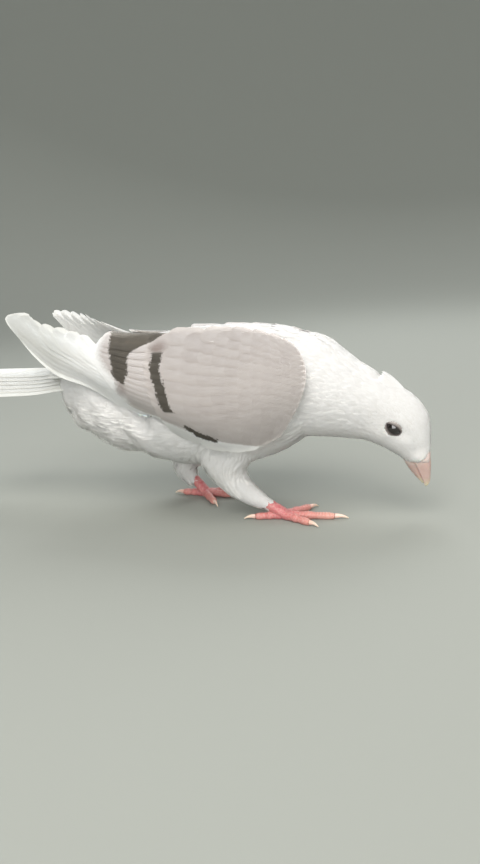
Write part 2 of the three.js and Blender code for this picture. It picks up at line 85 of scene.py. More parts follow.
# The stockings, hip to bare shank: x, y, z, half depth, half width.
THIGHS = {
    "right": [
        [4, -21, 54, 20, 14], [1, -20.5, 42, 19, 14], [0.5, -20, 33, 14.5, 12],
        [2.5, -19.2, 26, 10, 9.5], [7, -18.6, 19.5, 8, 7.6], [13, -18, 14.5, 6.6, 6.4],
        [19, -17.7, 10.8, 5.2, 5.2], [23.5, -17.4, 8.4, 3.9, 4],
    ],
    "left": [
        [-26, 22, 54, 21, 14], [-32, 21.5, 44, 20, 14], [-38, 20.6, 35, 16, 12],
        [-43, 19.6, 27, 11.5, 9.5], [-45, 19, 21, 8.4, 7.8], [-43.5, 18.4, 15.5, 6.4, 6.4],
        [-41, 18, 11.8, 5, 5], [-39, 17.8, 9.4, 3.9, 4],
    ],
}
FEET = {
    "right": {"side": RIGHT, "centre": (32.5, -17.2), "heading": 8},
    "left": {"side": LEFT, "centre": (-32.5, 17.2), "heading": 0},
}
TOES = {
    "inner": {"turn": 50, "length": 21, "claw": 7},
    "middle": {"turn": 0, "length": 30, "claw": 8},
    "outer": {"turn": -34, "length": 20.5, "claw": 6.5},
    "hind": {"turn": 186, "length": 16, "claw": 7},
}
TOE_RADIUS = 2.5
CLAW_GAP = 0.3

# The head's frame: the eye is its origin, h runs to the bill's tip and u to the crown.
EYE = np.array([97.2, 0, 53.2])
HEAD_PITCH = math.radians(66)

# The bird's frame stands in the row frame where the torso's rear end is.
torso_low, torso_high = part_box("torso")
SHIFT = np.array([torso_low.x - TRUNK_END * MM, (torso_low.y + torso_high.y) / 2, 0])


def placed(points):
    """Millimetres of the bird's frame as metres of the row frame."""
    return np.asarray(points, float) * MM + SHIFT


def unit(v):
    return v / np.maximum(np.linalg.norm(v, axis=-1, keepdims=True), 1e-9)


def lerp(a, b, t):
    return a + (b - a) * t


def smoothstep(low, high, v):
    t = np.clip((v - low) / (high - low), 0, 1)
    return t * t * (3 - 2 * t)


# Shapes of the body.


def smooth(rows, u):
    """Rows of numbers read as smooth curves: u runs from 0 at the first row to 1 at the last."""
    rows = np.asarray(rows, float)
    last = len(rows) - 1
    along = np.clip(u, 0, 1) * last
    k = np.minimum(np.floor(along).astype(int), last - 1)
    f = (along - k)[..., None]
    a, b, d, e = [rows[np.clip(k + step, 0, last)] for step in (-1, 0, 1, 2)]
    return b + 0.5 * f * (d - a + f * (2 * a - 5 * b + 4 * d - e + f * (3 * (b - d) + e - a)))


# How full the ovals are: 2 is a true ellipse, less is more pointed and more is boxier.
BACK_FULLNESS, BELLY_FULLNESS = 1.85, 2.25
NECK_FULLNESS = 2.05
BILL_FULLNESS = 2.1
CERE_FULLNESS = 2.3


def oval(angle, up, down, half, exponent):
    """A round section with its own reach above and below: how far aside and up a spot lies, 0 at the top."""
    c, s = np.cos(angle), np.sin(angle)
    power = 2 / exponent
    y = half * np.sign(s) * np.abs(s) ** power
    return y, np.where(c > 0, up, down) * np.sign(c) * np.abs(c) ** power


def trunk(u, angle, sink=0):
    """A spot of the trunk's plumage, u from breast to rear, sunk under it by sink."""
    x, z, up, down, half = np.moveaxis(smooth(TRUNK, u), -1, 0)
    exponent = np.where(np.cos(angle) > 0, BACK_FULLNESS, BELLY_FULLNESS)
    y, rise = oval(angle, up - sink, down - sink, half - sink, exponent)
    return np.stack([x, y, z + rise], -1)


def neck(u, angle, sink=0):
    """A spot of the neck and head's plumage, u from the shoulders to the bill."""
    x, z, pitch, up, down, half = np.moveaxis(smooth(NECK, u), -1, 0)
    pitch = np.radians(pitch)
    y, rise = oval(angle, up - sink, down - sink, half - sink, NECK_FULLNESS)
    return np.stack([x + rise * np.sin(pitch), y, z + rise * np.cos(pitch)], -1)


def tube(rows, above, u, angle, sink=0):
    """A tube along rows of x, y, z, half height and half width, its height towards above."""
    at = lambda v: smooth(rows, v)[..., :3]
    ahead = unit(at(np.minimum(u + 0.02, 1)) - at(np.maximum(u - 0.02, 0)))
    across = unit(np.cross(np.broadcast_to(above, ahead.shape), ahead))
    tall, wide = np.moveaxis(smooth(rows, u)[..., 3:5], -1, 0)
    rise = (np.cos(angle) * (tall - sink))[..., None] * np.cross(ahead, across)
    return at(u) + rise + (np.sin(angle) * (wide - sink))[..., None] * across


def thigh(key, u, angle, sink=0):
    """A spot of a stocking, u from the hip down."""
    return tube(THIGHS[key], (1, 0, 0), u, angle, sink)


def shank_rows(key, sink=0):
    """The bare shank from inside the stocking down to the toes."""
    x, y, z = THIGHS[key][-3][:3]
    cx, cy = FEET[key]["centre"]
    rows = [[x, y, z, 2.8, 2.8], [(x + cx) / 2, (y + cy) / 2, (z + 4) / 2, 3, 3.2], [cx, cy, 3.6, 3.2, 3.6],
            [cx + 1.5, cy, 2.4, 2, 2.6]]
    return [[*row[:3], row[3] - sink, row[4] - sink] for row in rows]


def wing_at(side, s, t):
    """A spot of the wing's outer face, s from shoulder to tip and t from the lower rail to the upper one."""
    low, mid, high = [smooth(rail, s) for rail in (WING_LOWER, WING_MIDDLE, WING_UPPER)]
    t = t[..., None]
    p = (1 - t) * (1 - 2 * t) * low + 4 * t * (1 - t) * mid + t * (2 * t - 1) * high
    pull = smoothstep(0.5, 1, s)[..., None] * (side == LEFT)
    return p * [1, -side, 1] + np.array(LEFT_TIP_SHIFT) * pull


def wing_width(side, s):
    """How wide the folded wing is, measured over its bulge."""
    low, mid, high = [wing_at(side, s, np.full_like(s, t)) for t in (0, 0.5, 1)]
    return np.linalg.norm(mid - low, axis=-1) + np.linalg.norm(high - mid, axis=-1)


def wing_face(side, s, low):
    """A spot of the wing's outer face and the way it faces; low is its height above the lower edge."""
    t = low / wing_width(side, s)
    step = 0.004
    along = wing_at(side, np.minimum(s + step, 1), t) - wing_at(side, np.maximum(s - step, 0), t)
    across = wing_at(side, s, t + step) - wing_at(side, s, t - step)
    return wing_at(side, s, t), unit(np.cross(along, across)) * side


PAD_START, PAD_END = 0.004, 0.56
PAD_DEPTH = 1.1  # how far it lies under the coverts at the shoulder
PAD_SINK = 2.8  # how much deeper it lies under the long coverts
PAD_THICK = (15, 6)  # at the shoulder and at its end
PAD_EDGE = 0.6


def wing_pad(side, u, angle):
    """The fleshy wing under its coverts."""
    s = PAD_START + (PAD_END - PAD_START) * u
    c = np.cos(angle)
    squash = 0.47 * np.minimum(1, 0.8 + u * 3)
    low = wing_width(side, s) * (0.5 + squash * np.sign(c) * np.abs(c) ** 0.9)
    end = np.minimum(1, np.sqrt(u / 0.1)) * np.minimum(1, np.sqrt((1 - u) / 0.15))
    deep = lerp(*PAD_THICK, u) * np.sqrt(1 - c * c) * np.maximum(end, 0.15)
    top = -PAD_DEPTH - PAD_SINK * smoothstep(0.22, 0.42, s)
    lift = np.where(np.sin(angle) > 0, top, top - np.maximum(deep, PAD_EDGE))
    base, out = wing_face(side, s, low)
    return base + out * lift[..., None]


def on_head(h, y, u):
    """A place in the head's frame as one in the bird's."""
    c, s = math.cos(HEAD_PITCH), math.sin(HEAD_PITCH)
    return np.stack([EYE[0] + h * c + u * s, np.broadcast_to(y, np.shape(h * u)), EYE[2] - h * s + u * c], -1)


# Meshes.


def new_object(name, mesh):
    made = bpy.data.objects.new(name, mesh)
    bpy.context.collection.objects.link(made)
    return made


def lofted(name, sides, rings, place):
    """A closed skin of rings, made from a UV sphere: place(u, angle) gives its points in millimetres."""
    bpy.ops.mesh.primitive_uv_sphere_add(segments=sides, ring_count=rings + 1, radius=1)
    made = bpy.context.object
    made.name = name
    co = np.empty(len(made.data.vertices) * 3)
    made.data.vertices.foreach_get("co", co)
    co = co.reshape(-1, 3)
    ring = np.round(np.arccos(np.clip(co[:, 2], -1, 1)) / math.pi * (rings + 1))
    angle = np.arctan2(co[:, 1], co[:, 0])
    u = np.clip((ring - 1) / (rings - 1), 0, 1)
    points = place(u, angle)
    for end, value in ((0, 0.0), (rings + 1, 1.0)):
        spread = np.linspace(0, 2 * math.pi, 24, endpoint=False)
        points[ring == end] = place(np.full(24, value), spread).mean(0)
    made.data.vertices.foreach_set("co", placed(points).ravel())
    made.data.update()
    add_attribute(made.data, "along", u)
    face_outwards(made)
    return made


def face_outwards(made):
    """All faces turned outwards, and the shading made smooth."""
    bpy.ops.object.select_all(action="DESELECT")
    bpy.context.view_layer.objects.active = made
    made.select_set(True)
    bpy.ops.object.mode_set(mode="EDIT")
    bpy.ops.mesh.select_all(action="SELECT")
    bpy.ops.mesh.normals_make_consistent(inside=False)
    bpy.ops.object.mode_set(mode="OBJECT")
    bpy.ops.object.shade_smooth()


def joined(name, pieces):
    """Several objects as one, each still its own closed mesh."""
    bpy.ops.object.select_all(action="DESELECT")
    for piece in pieces:
        piece.select_set(True)
    bpy.context.view_layer.objects.active = pieces[0]
    bpy.ops.object.join()
    pieces[0].name = name
    pieces[0].data.name = name
    return pieces[0]


def fused(name, pieces, voxel, passes):
    """Several overlapping closed shapes as one seamless skin."""
    whole = joined(name, pieces)
    remesh = whole.modifiers.new("fuse", "REMESH")
    remesh.mode = "VOXEL"
    remesh.voxel_size = voxel * MM
    soften = whole.modifiers.new("soften", "SMOOTH")
    soften.factor = 0.5
    soften.iterations = passes
    for modifier in (remesh, soften):
        bpy.ops.object.modifier_apply(modifier=modifier.name)
    face_outwards(whole)
    return whole


def vane_template(rows, columns):
    """Corner numbers of a closed vane: rows x columns points on top, and the inner columns again below."""
    inner = columns - 2
    under = rows * columns
    top = lambda i, j: i * columns + j
    low = lambda i, j: top(i, j) if j in (0, columns - 1) else under + i * inner + j - 1
    faces = []
    for i in range(rows - 1):
        for j in range(columns - 1):
            faces.append((top(i, j), top(i, j + 1), top(i + 1, j + 1), top(i + 1, j)))
            faces.append((low(i, j), low(i + 1, j), low(i + 1, j + 1), low(i, j + 1)))
    for i, turned in ((0, -1), (rows - 1, 1)):
        for j in range(columns - 1):
            rim = dict.fromkeys((top(i, j), top(i, j + 1), low(i, j + 1), low(i, j)))
            faces.append(tuple(rim)[::turned])
    return faces


def repeated_mesh(name, points, template):
    """One mesh of many like shapes: points is count x corners x 3, in millimetres."""
    count, each = points.shape[:2]
    loops = np.concatenate([np.array(face) for face in template])
    sizes = np.array([len(face) for face in template])
    corner = (loops[None, :] + np.arange(count)[:, None] * each).ravel()
    start = np.concatenate([[0], np.cumsum(np.tile(sizes, count))[:-1]])
    mesh = bpy.data.meshes.new(name)
    mesh.vertices.add(count * each)
    mesh.vertices.foreach_set("co", placed(points).ravel())
    mesh.loops.add(len(corner))
    mesh.loops.foreach_set("vertex_index", corner.astype(np.int32))
    mesh.polygons.add(len(start))
    mesh.polygons.foreach_set("loop_start", start.astype(np.int32))
    mesh.polygons.foreach_set("use_smooth", np.ones(len(start), bool))
    mesh.update(calc_edges=True)
    return new_object(name, mesh), corner


BARB_UNIT = 10  # millimetres to one unit of the map that the barbs are drawn on

# A feather's shape and finish, unless its maker says otherwise. Sizes are millimetres or shares of its own.
FEATHER_LOOK = {
    "point": 1.0,  # the tip's length over the half width
    "ragged": 0.0,  # how unevenly the tip ends
    "narrow": 0.5,  # the root's width over the widest
    "thick": 0.12,
    "camber": 0.1,  # how far its middle stands over its edges
    "shaft": 0.0,  # the height of the shaft
    "step": None,  # how far its tip stands over the feather behind
    "relief": 0.08,  # how much of its own roundness the light sees
    "seed": 1,
    "spots": None,  # its places on the paint map, or None for a strip of its own
    "patch": 0.003,  # the patch's size there
    "strips": (0, 1),  # the part of the map's height that the strips fill
}


def vane_outline(want, long, wide, rows, columns, random):
    """How far along and aside of its shaft each point of a flat feather lies, and its shares of both."""
    t = (1 - (1 - np.linspace(0, 1, rows)) ** 1.35)[None, :, None]
    b = np.linspace(-1, 1, columns)[None, None, :]
    rounding = np.minimum(wide * want["point"] / long, 0.85)
    reach = 1 - rounding * (1 - np.sqrt(1 - 0.97 * b * b))
    reach = reach - want["ragged"] / long * random.random((len(long), 1, columns))
    along = long * t * reach
    across = wide * b * lerp(want["narrow"], 1, smoothstep(0, 0.5, t)) + 0 * along
    return along, across, t + 0 * along, b


def vane_lift(want, wide, root_lift, tip_lift, share, b):
    """How far each point of a feather stands off the surface under it."""
    lift = lerp(root_lift, tip_lift, share)
    if want["step"] is not None:
        step = want["step"]
        lift = root_lift + (tip_lift - step - root_lift) * smoothstep(0, 0.3, share)
        lift = lift + step * share
    return lift + wide * want["camber"] * (1 - b * b) * smoothstep(0, 0.3, share)


def vanes(name, surface, length, half, root_lift, tip_lift, rows=6, columns=5, **look):
    """Many feathers as one mesh. surface(along, across) gives each feather's spots, in millimetres from its
    root, and the way out from the surface there. length has a value for each feather, and half, root_lift
    and tip_lift have that or one value for all."""
    want = FEATHER_LOOK | look
    count = len(length)
    random = np.random.default_rng(want["seed"])
    shaped = lambda v: np.broadcast_to(np.asarray(v, float), (count,))[:, None, None]
    for key in ("point", "ragged", "step"):
        want[key] = None if want[key] is None else shaped(want[key])
    long, wide = shaped(length), shaped(half)
    along, across, share, b = vane_outline(want, long, wide, rows, columns, random)
    base, out = surface(along, across)
    lie, aside = unit(np.gradient(base, axis=1)), unit(np.gradient(base, axis=2))
    if (np.cross(aside, lie) * out).sum(-1).mean() < 0:
        across = -across
        base, out = surface(along, across)
        lie, aside = unit(np.gradient(base, axis=1)), unit(np.gradient(base, axis=2))
    lift = vane_lift(want, wide, shaped(root_lift), shaped(tip_lift), share, b)
    ridge = want["shaft"] * np.exp(-(b * 6) ** 2) * (1 - 0.7 * share)
    depth = want["thick"] * (1 - 0.6 * share) * (1 - 0.75 * b * b)
    top = base + out * (lift + ridge)[..., None]
    under = base + out * (lift - depth)[..., None]
    points = np.concatenate([top.reshape(count, -1, 3), under[:, :, 1:-1].reshape(count, -1, 3)], 1)
    template = vane_template(rows, columns)
    made, corner = repeated_mesh(name, points, template)
    leaning = lie * share[..., None] + aside * (b + 0 * along)[..., None]
    soft_normals(made.data, unit(out + want["relief"] * leaning), template, corner)
    both = lambda v: np.concatenate([v.reshape(count, -1), v[:, :, 1:-1].reshape(count, -1)], 1)
    tint = np.repeat(random.random(count), points.shape[1])
    add_attribute(made.data, "tint", tint)
    add_attribute(made.data, "along", both(share).ravel())
    barbs = np.stack([both(across), both(along)], -1).reshape(-1, 2) / BARB_UNIT
    add_map(made.data, "barbs", barbs[corner])
    add_map(made.data, "OFBake", bake_spots(want, count, both(b + 0 * along), both(share))[corner])
    return made


def soft_normals(mesh, facing, template, corner):
    """Lets the feathers take the light as the body does, so that the coat looks soft and not scaly."""
    count = len(facing)
    each = np.concatenate([facing.reshape(count, -1, 3), facing[:, :, 1:-1].reshape(count, -1, 3)], 1)
    rims = len(template) - 2 * (facing.shape[2] - 1)
    way = np.concatenate([[-1 if k % 2 and k < rims else 1] * len(f) for k, f in enumerate(template)])
    normals = each.reshape(-1, 3)[corner] * np.tile(way, count)[:, None]
    mesh.normals_split_custom_set(normals.astype(np.float32))


def bake_spots(want, count, across, along):
    """Where each feather is painted: a small patch at its root's place, or a strip of its own."""
    if want["spots"] is not None:
        local = np.stack([across * 0.5, along - 0.5], -1) * want["patch"]
        return (want["spots"][:, None, :] + local).reshape(-1, 2)
    wide = math.ceil(math.sqrt(count * 2.5))
    tall = math.ceil(count / wide)
    cell = np.arange(count)
    u = (cell % wide)[:, None] + 0.5 + 0.45 * across
    v = (cell // wide)[:, None] + 0.03 + 0.94 * along
    low, high = want["strips"]
    return np.stack([u / wide, lerp(low, high, v / tall)], -1).reshape(-1, 2)


def add_attribute(mesh, name, values):
    """One number for each point, for a material to read."""
    made = mesh.attributes.new(name, "FLOAT", "POINT")
    made.data.foreach_set("value", values.astype(np.float32))


def add_map(mesh, name, values):
    made = mesh.uv_layers.new(name=name)
    made.data.foreach_set("uv", values.astype(np.float32).ravel())


# Materials.


def linear(hexed):
    """An sRGB hex colour as the linear numbers that the shader takes."""
    channels = [int(hexed[i : i + 2], 16) / 255 for i in (1, 3, 5)]
    return [c / 12.92 if c <= 0.04045 else ((c + 0.055) / 1.055) ** 2.4 for c in channels] + [1]


def add(tree, kind, inputs=None, out=0, **settings):
    """Adds a shader node and gives one of its outputs; an input is a number, hex colour or node output."""
    node = tree.nodes.new("ShaderNode" + kind)
    for setting, value in settings.items():
        setattr(node, setting, value)
    for key, value in (inputs or {}).items():
        if isinstance(value, bpy.types.NodeSocket):
            tree.links.new(value, node.inputs[key])
        else:
            node.inputs[key].default_value = linear(value) if isinstance(value, str) else value
    return node.outputs[out]


PER_MM = 1 / MM  # a pattern's scale is its grains to a millimetre times this, as its coordinates are metres

# A Mix node set to colours takes its factor at input 0 and its colours at inputs 6 and 7.
COLOURS = {"out": 2, "data_type": "RGBA"}


def finish(name, colour, roughness, **sockets):
    """A material of one Principled shader; its sockets take numbers, hex colours or node outputs later on."""
    made = bpy.data.materials.new(name)
    made.use_nodes = True
    shader = made.node_tree.nodes["Principled BSDF"]
    shader.inputs["Base Color"].default_value = linear(colour)
    shader.inputs["Roughness"].default_value = roughness
    for socket, value in sockets.items():
        shader.inputs[socket.replace("_", " ")].default_value = value
    return made, made.node_tree, shader


BARB_SPACING = 0.9  # millimetres; the real ones are 0.4 apart, which is too fine to show in the render


def barb_bump(tree, shader, depth):
    """Barbs that leave the shaft at half a right angle."""
    uv = add(tree, "UVMap", uv_map="barbs")
    across = add(tree, "SeparateXYZ", {0: uv}, 0)
    along = add(tree, "SeparateXYZ", {0: uv}, 1)
    aside = add(tree, "Math", {0: across}, operation="ABSOLUTE")
    run = add(tree, "Math", {0: along, 1: aside}, operation="SUBTRACT")
    turns = add(tree, "Math", {0: run, 1: 2 * math.pi * BARB_UNIT / BARB_SPACING}, operation="MULTIPLY")
    wave = add(tree, "Math", {0: turns}, operation="SINE")
    bump = add(tree, "Bump", {"Height": wave, "Distance": depth * MM, "Strength": 0.6})
    tree.links.new(bump, shader.inputs["Normal"])


FEATHER = {"Subsurface_Weight": 0.5, "Subsurface_Radius": (1.0, 0.9, 0.8), "Subsurface_Scale": 0.002,
           "Specular_IOR_Level": 0.25}


def white_feathers(name, root, tip, dull, clean, barbs):
    """White keratin barbs full of air, so matt, bright, a little translucent and greyer at the root."""
    made, tree, shader = finish(name, clean, 0.85, **FEATHER)
    tint = add(tree, "Attribute", out="Fac", attribute_name="tint")
    along = add(tree, "Attribute", out="Fac", attribute_name="along")
    down = add(tree, "Mix", {0: along, 6: root, 7: tip}, **COLOURS)
    warm = add(tree, "Mix", {0: tint, 6: dull, 7: clean}, **COLOURS)
    both = add(tree, "Mix", {0: 0.5, 6: down, 7: warm}, **COLOURS)
    tree.links.new(both, shader.inputs["Base Color"])
    barb_bump(tree, shader, barbs)
    return made


def plumage_white():
    """The body's white contour feathers."""
    return white_feathers("plumage_white", "#E9E7E2", "#FAF9F7", "#F3F1ED", "#FCFBF9", 0.02)


def plumage_flight():
    """The tail's white feathers, a greyer copy of the body's white: partly their own thinner, more
    translucent white and partly painted shade that tones the tail down.
    """
    # Painted shade in part: these whites are darker than the body's so that the tail reads less brightly lit
    return white_feathers("plumage_flight", "#D6D6D0", "#D9D9D2", "#D6D5CF", "#DFDFD9", 0.03)


def curve(tree, source, points):
    """A smooth curve through pairs of source value and answer, both in millimetres."""
    points = sorted(points)
    low, high = points[0][0], points[-1][0]
    answers = [answer for _, answer in points]
    base, top = min(answers), max(answers)
    share = add(tree, "MapRange", {0: source, 1: low, 2: high})
    shape = add(tree, "FloatCurve", {"Value": share})
    line = shape.node.mapping.curves[0]
    while len(line.points) < len(points):
        line.points.new(0.5, 0.5)
    for spot, (value, answer) in zip(line.points, points):
        spot.location = ((value - low) / (high - low), (answer - base) / (top - base))
    shape.node.mapping.update()
    return add(tree, "MapRange", {0: shape, 3: base, 4: top})


# The markings on the wing, from below upwards: heights of the bird's frame and x of the two edges there.
FRONT_BAR = {
    "rear": [(66, -17), (71, -21.5), (79, -26.3), (87, -30), (100, -35.7), (114, -41)],
    "fore": [(66, -12), (71, -14.5), (79, -18.1), (87, -22.7), (100, -28.6), (114, -33)],
    "from": 69.5, "to": 101.5,
}
REAR_BAR = {
    "rear": [(80, -49), (85.5, -51.5), (87.5, -55), (92.6, -59.5), (98, -62.6), (107, -69.5), (114, -76)],
    "fore": [(80, -47), (85.5, -47.2), (92.5, -47.9), (99.5, -50.2), (103.8, -46.3), (106.3, -38.6),
             (114, -30)],
    "from": 84, "to": 140,
}
SHIELD_END = [(48, 40), (52, 16), (53.7, 6.7), (59.5, -11), (65.7, -29), (71, -47), (78, -53), (87, -58),
              (98, -71), (106, -76), (114, -80)]
# A short dark streak near the lower edge: here the pairs are x and the heights of its two edges.
STREAK = {
    "rear": [(-12, 61), (-10, 60.6), (-3, 56.6), (4, 54), (10, 52.8)],
    "fore": [(-12, 63.5), (-10, 64.4), (-6.9, 63.2), (2.4, 59), (10, 55)],
    "from": -11, "to": 8.5,
}
FLECKS = 0.9  # to a millimetre, as wide as two or three barbs
CLOUDS = 0.12  # to a millimetre, as wide as a covert
FRAY = 4.0  # how far single barbs carry the colour over a bar's edge
STEP = 2.0  # how far whole feathers do
EDGE_SOFT = 5.0  # over how far the silver fades into the white flights
FLIGHTS_PAINTED_SHADE = (-60.0, -105.0)  # x where painted shade starts to grey the near blade's white towards its tip, and where that blade is full grey
# Brown blushes past the upper end of the front bar and the lower end of the rear one.
BLUSHES = [
    {"centre": (-33, 103.5), "reach": (6.5, 4.0), "strength": 0.75},
    {"centre": (-52.5, 82.0), "reach": (5.0, 6.0), "strength": 0.6},
]


def band(tree, across, along, edges, soft):
    """1 between the two edges of a marking and 0 outside, over the stretch that it runs."""
    inside = None
    gaps = [
        (across, curve(tree, along, edges["rear"])),
        (curve(tree, along, edges["fore"]), across),
        (along, edges["from"]),
        (edges["to"], along),
    ]
    for high, low in gaps:
        over = add(tree, "Math", {0: high, 1: low}, operation="SUBTRACT")
        share = add(tree, "Math", {0: over, 1: soft}, operation="DIVIDE", use_clamp=True)
        if inside is not None:
            share = add(tree, "Math", {0: share, 1: inside}, operation="MULTIPLY")
        inside = share
    return inside


def blot(tree, x, z, centre, reach, strength):
    """A soft oval patch round a place on the wing: strength at its middle and 0 outside."""
    spot = add(tree, "CombineXYZ", {0: x, 2: z})
    gap = add(tree, "VectorMath", {0: spot, 1: (centre[0], 0, centre[1])}, operation="SUBTRACT")
    share = add(tree, "VectorMath", {0: gap, 1: (reach[0], 1, reach[1])}, operation="DIVIDE")
    far = add(tree, "VectorMath", {0: share}, out=1, operation="LENGTH")
    share = add(tree, "MapRange", {0: far, 1: 1.1, 2: 0.35})
    return add(tree, "Math", {0: share, 1: strength}, operation="MULTIPLY")


def shield_colour(tree, tint):
    """Silver with two dark bars, white towards the flights, the near blade's white greyed towards its tip as
    painted shade; the bars' edges step from feather to feather.
    """
    place = add(tree, "TexCoord", out="Object")
    fray = add(tree, "TexNoise", {"Vector": place, "Scale": FLECKS * PER_MM, "Detail": 2.0})
    cloud = add(tree, "TexNoise", {"Vector": place, "Scale": CLOUDS * PER_MM, "Detail": 2.0})
    raw = add(tree, "SeparateXYZ", {0: place}, 0)
    height = add(tree, "SeparateXYZ", {0: place}, 2)
    start = -SHIFT[0] / MM - FRAY / 2 - STEP / 2
    x = add(tree, "Math", {0: raw, 1: PER_MM, 2: start}, operation="MULTIPLY_ADD")
    x = add(tree, "Math", {0: fray, 1: FRAY, 2: x}, operation="MULTIPLY_ADD")
    x = add(tree, "Math", {0: tint, 1: STEP, 2: x}, operation="MULTIPLY_ADD")
    z = add(tree, "Math", {0: height, 1: MM}, operation="DIVIDE")
    rough_z = add(tree, "Math", {0: fray, 1: FRAY / 2, 2: z}, operation="MULTIPLY_ADD")
    wash = add(tree, "Mix", {0: cloud, 6: "#B3AAA5", 7: "#C1B9B3"}, **COLOURS)
    light = add(tree, "Math", {0: tint, 1: 0.35}, operation="MULTIPLY")
    wash = add(tree, "Mix", {0: light, 6: wash, 7: "#CAC3BD"}, **COLOURS)
    beyond = add(tree, "Math", {0: x, 1: curve(tree, z, SHIELD_END)}, operation="SUBTRACT")
    inside = add(tree, "MapRange", {0: beyond, 1: 0.0, 2: EDGE_SOFT})
    # Painted shade: the near blade's white flights grey towards the tip, where they catch the most light; the
    # far blade lies in shade but keeps the clean white, so it is painted lighter than the near one
    thin = add(tree, "MapRange", {0: x, 1: FLIGHTS_PAINTED_SHADE[0], 2: FLIGHTS_PAINTED_SHADE[1]})
    aside = add(tree, "SeparateXYZ", {0: place}, 1)
    near_side = add(tree, "MapRange", {0: aside, 1: SHIFT[1], 2: SHIFT[1] - 8 * MM})
    thin = add(tree, "Math", {0: thin, 1: near_side}, operation="MULTIPLY")
    white = add(tree, "Mix", {0: thin, 6: "#F7F6F3", 7: "#C6C6C0"}, **COLOURS)
    colour = add(tree, "Mix", {0: inside, 6: white, 7: wash}, **COLOURS)
    for blush in BLUSHES:
        colour = add(tree, "Mix", {0: blot(tree, x, z, **blush), 6: colour, 7: "#85756D"}, **COLOURS)
    front = band(tree, x, z, FRONT_BAR, 1.0)
    rear = band(tree, x, z, REAR_BAR, 1.2)
    streak = band(tree, rough_z, x, STREAK, 0.9)
    bars = add(tree, "Math", {0: front, 1: rear}, operation="MAXIMUM")
    bars = add(tree, "Math", {0: bars, 1: streak}, operation="MAXIMUM")
    dark = add(tree, "Mix", {0: cloud, 6: "#403C35", 7: "#544E45"}, **COLOURS)
    return add(tree, "Mix", {0: bars, 6: colour, 7: dark}, **COLOURS)


def plumage_shield():
    """Silver wing coverts with two dark bars: matt barbs, the grey a thin wash of pigment."""
    made, tree, shader = finish("plumage_shield", "#C6BEB9", 0.8, **FEATHER)
    tint = add(tree, "Attribute", out="Fac", attribute_name="tint")
    tree.links.new(shield_colour(tree, tint), shader.inputs["Base Color"])
    barb_bump(tree, shader, 0.03)
    return made


def bird_skin():
    """Thin skin with the down's colour, seen only where feathers part, and marked as the wing above it."""
    made, tree, shader = finish("bird_skin", "#EFECE8", 0.7, Subsurface_Weight=0.3, Subsurface_Scale=0.002)
    wing = add(tree, "Attribute", out="Fac", attribute_name="wing")
    marked = add(tree, "Mix", {0: wing, 6: "#EFECE8", 7: shield_colour(tree, 0.5)}, **COLOURS)
    tree.links.new(marked, shader.inputs["Base Color"])
    return made


def bill_horn():
    """Light keratin over bone, so flesh-coloured and satin, powdered by the cere and pale at the tip."""
    made, tree, shader = finish("bill_horn", "#D2B1A8", 0.42, Subsurface_Weight=0.2, Subsurface_Scale=0.001)
    place = add(tree, "TexCoord", out="Object")
    along = add(tree, "Attribute", out="Fac", attribute_name="along")
    mottle = add(tree, "TexNoise", {"Vector": place, "Scale": 0.3 * PER_MM, "Detail": 3.0})
    flesh = add(tree, "Mix", {0: mottle, 6: "#A08880", 7: "#B59D95"}, **COLOURS)
    powder = add(tree, "MapRange", {0: along, 1: 0.38, 2: 0.15})
    colour = add(tree, "Mix", {0: powder, 6: flesh, 7: "#C6BBB4"}, **COLOURS)
    tip = add(tree, "MapRange", {0: along, 1: 0.62, 2: 0.9})
    colour = add(tree, "Mix", {0: tip, 6: colour, 7: "#BFB698"}, **COLOURS)
    tree.links.new(colour, shader.inputs["Base Color"])
    # Three waves come to a grain, so the lines of growth are 2.6 mm apart.
    growth = add(tree, "TexWave", {"Vector": place, "Scale": 0.12 * PER_MM, "Distortion": 3.0},
                 bands_direction="Z")
    bump = add(tree, "Bump", {"Height": growth, "Distance": 0.04 * MM, "Strength": 0.4})
    tree.links.new(bump, shader.inputs["Normal"])
    return made


def cere_skin():
    """The cere: bare warty skin with a white powder, quite matt, the blood just showing through."""
    made, tree, shader = finish("cere_skin", "#E6D9D2", 0.9, Subsurface_Weight=0.25, Subsurface_Scale=0.001,
                                Subsurface_Radius=(1.0, 0.5, 0.4))
    place = add(tree, "TexCoord", out="Object")
    # Warts 1.4 mm across.
    wrinkle = add(tree, "TexNoise", {"Vector": place, "Scale": 0.7 * PER_MM, "Detail": 3.0})
    colour = add(tree, "Mix", {0: wrinkle, 6: "#B5A29C", 7: "#CDC2BC"}, **COLOURS)
    tree.links.new(colour, shader.inputs["Base Color"])
    bump = add(tree, "Bump", {"Height": wrinkle, "Distance": 0.15 * MM, "Strength": 0.6})
    tree.links.new(bump, shader.inputs["Normal"])
    return made


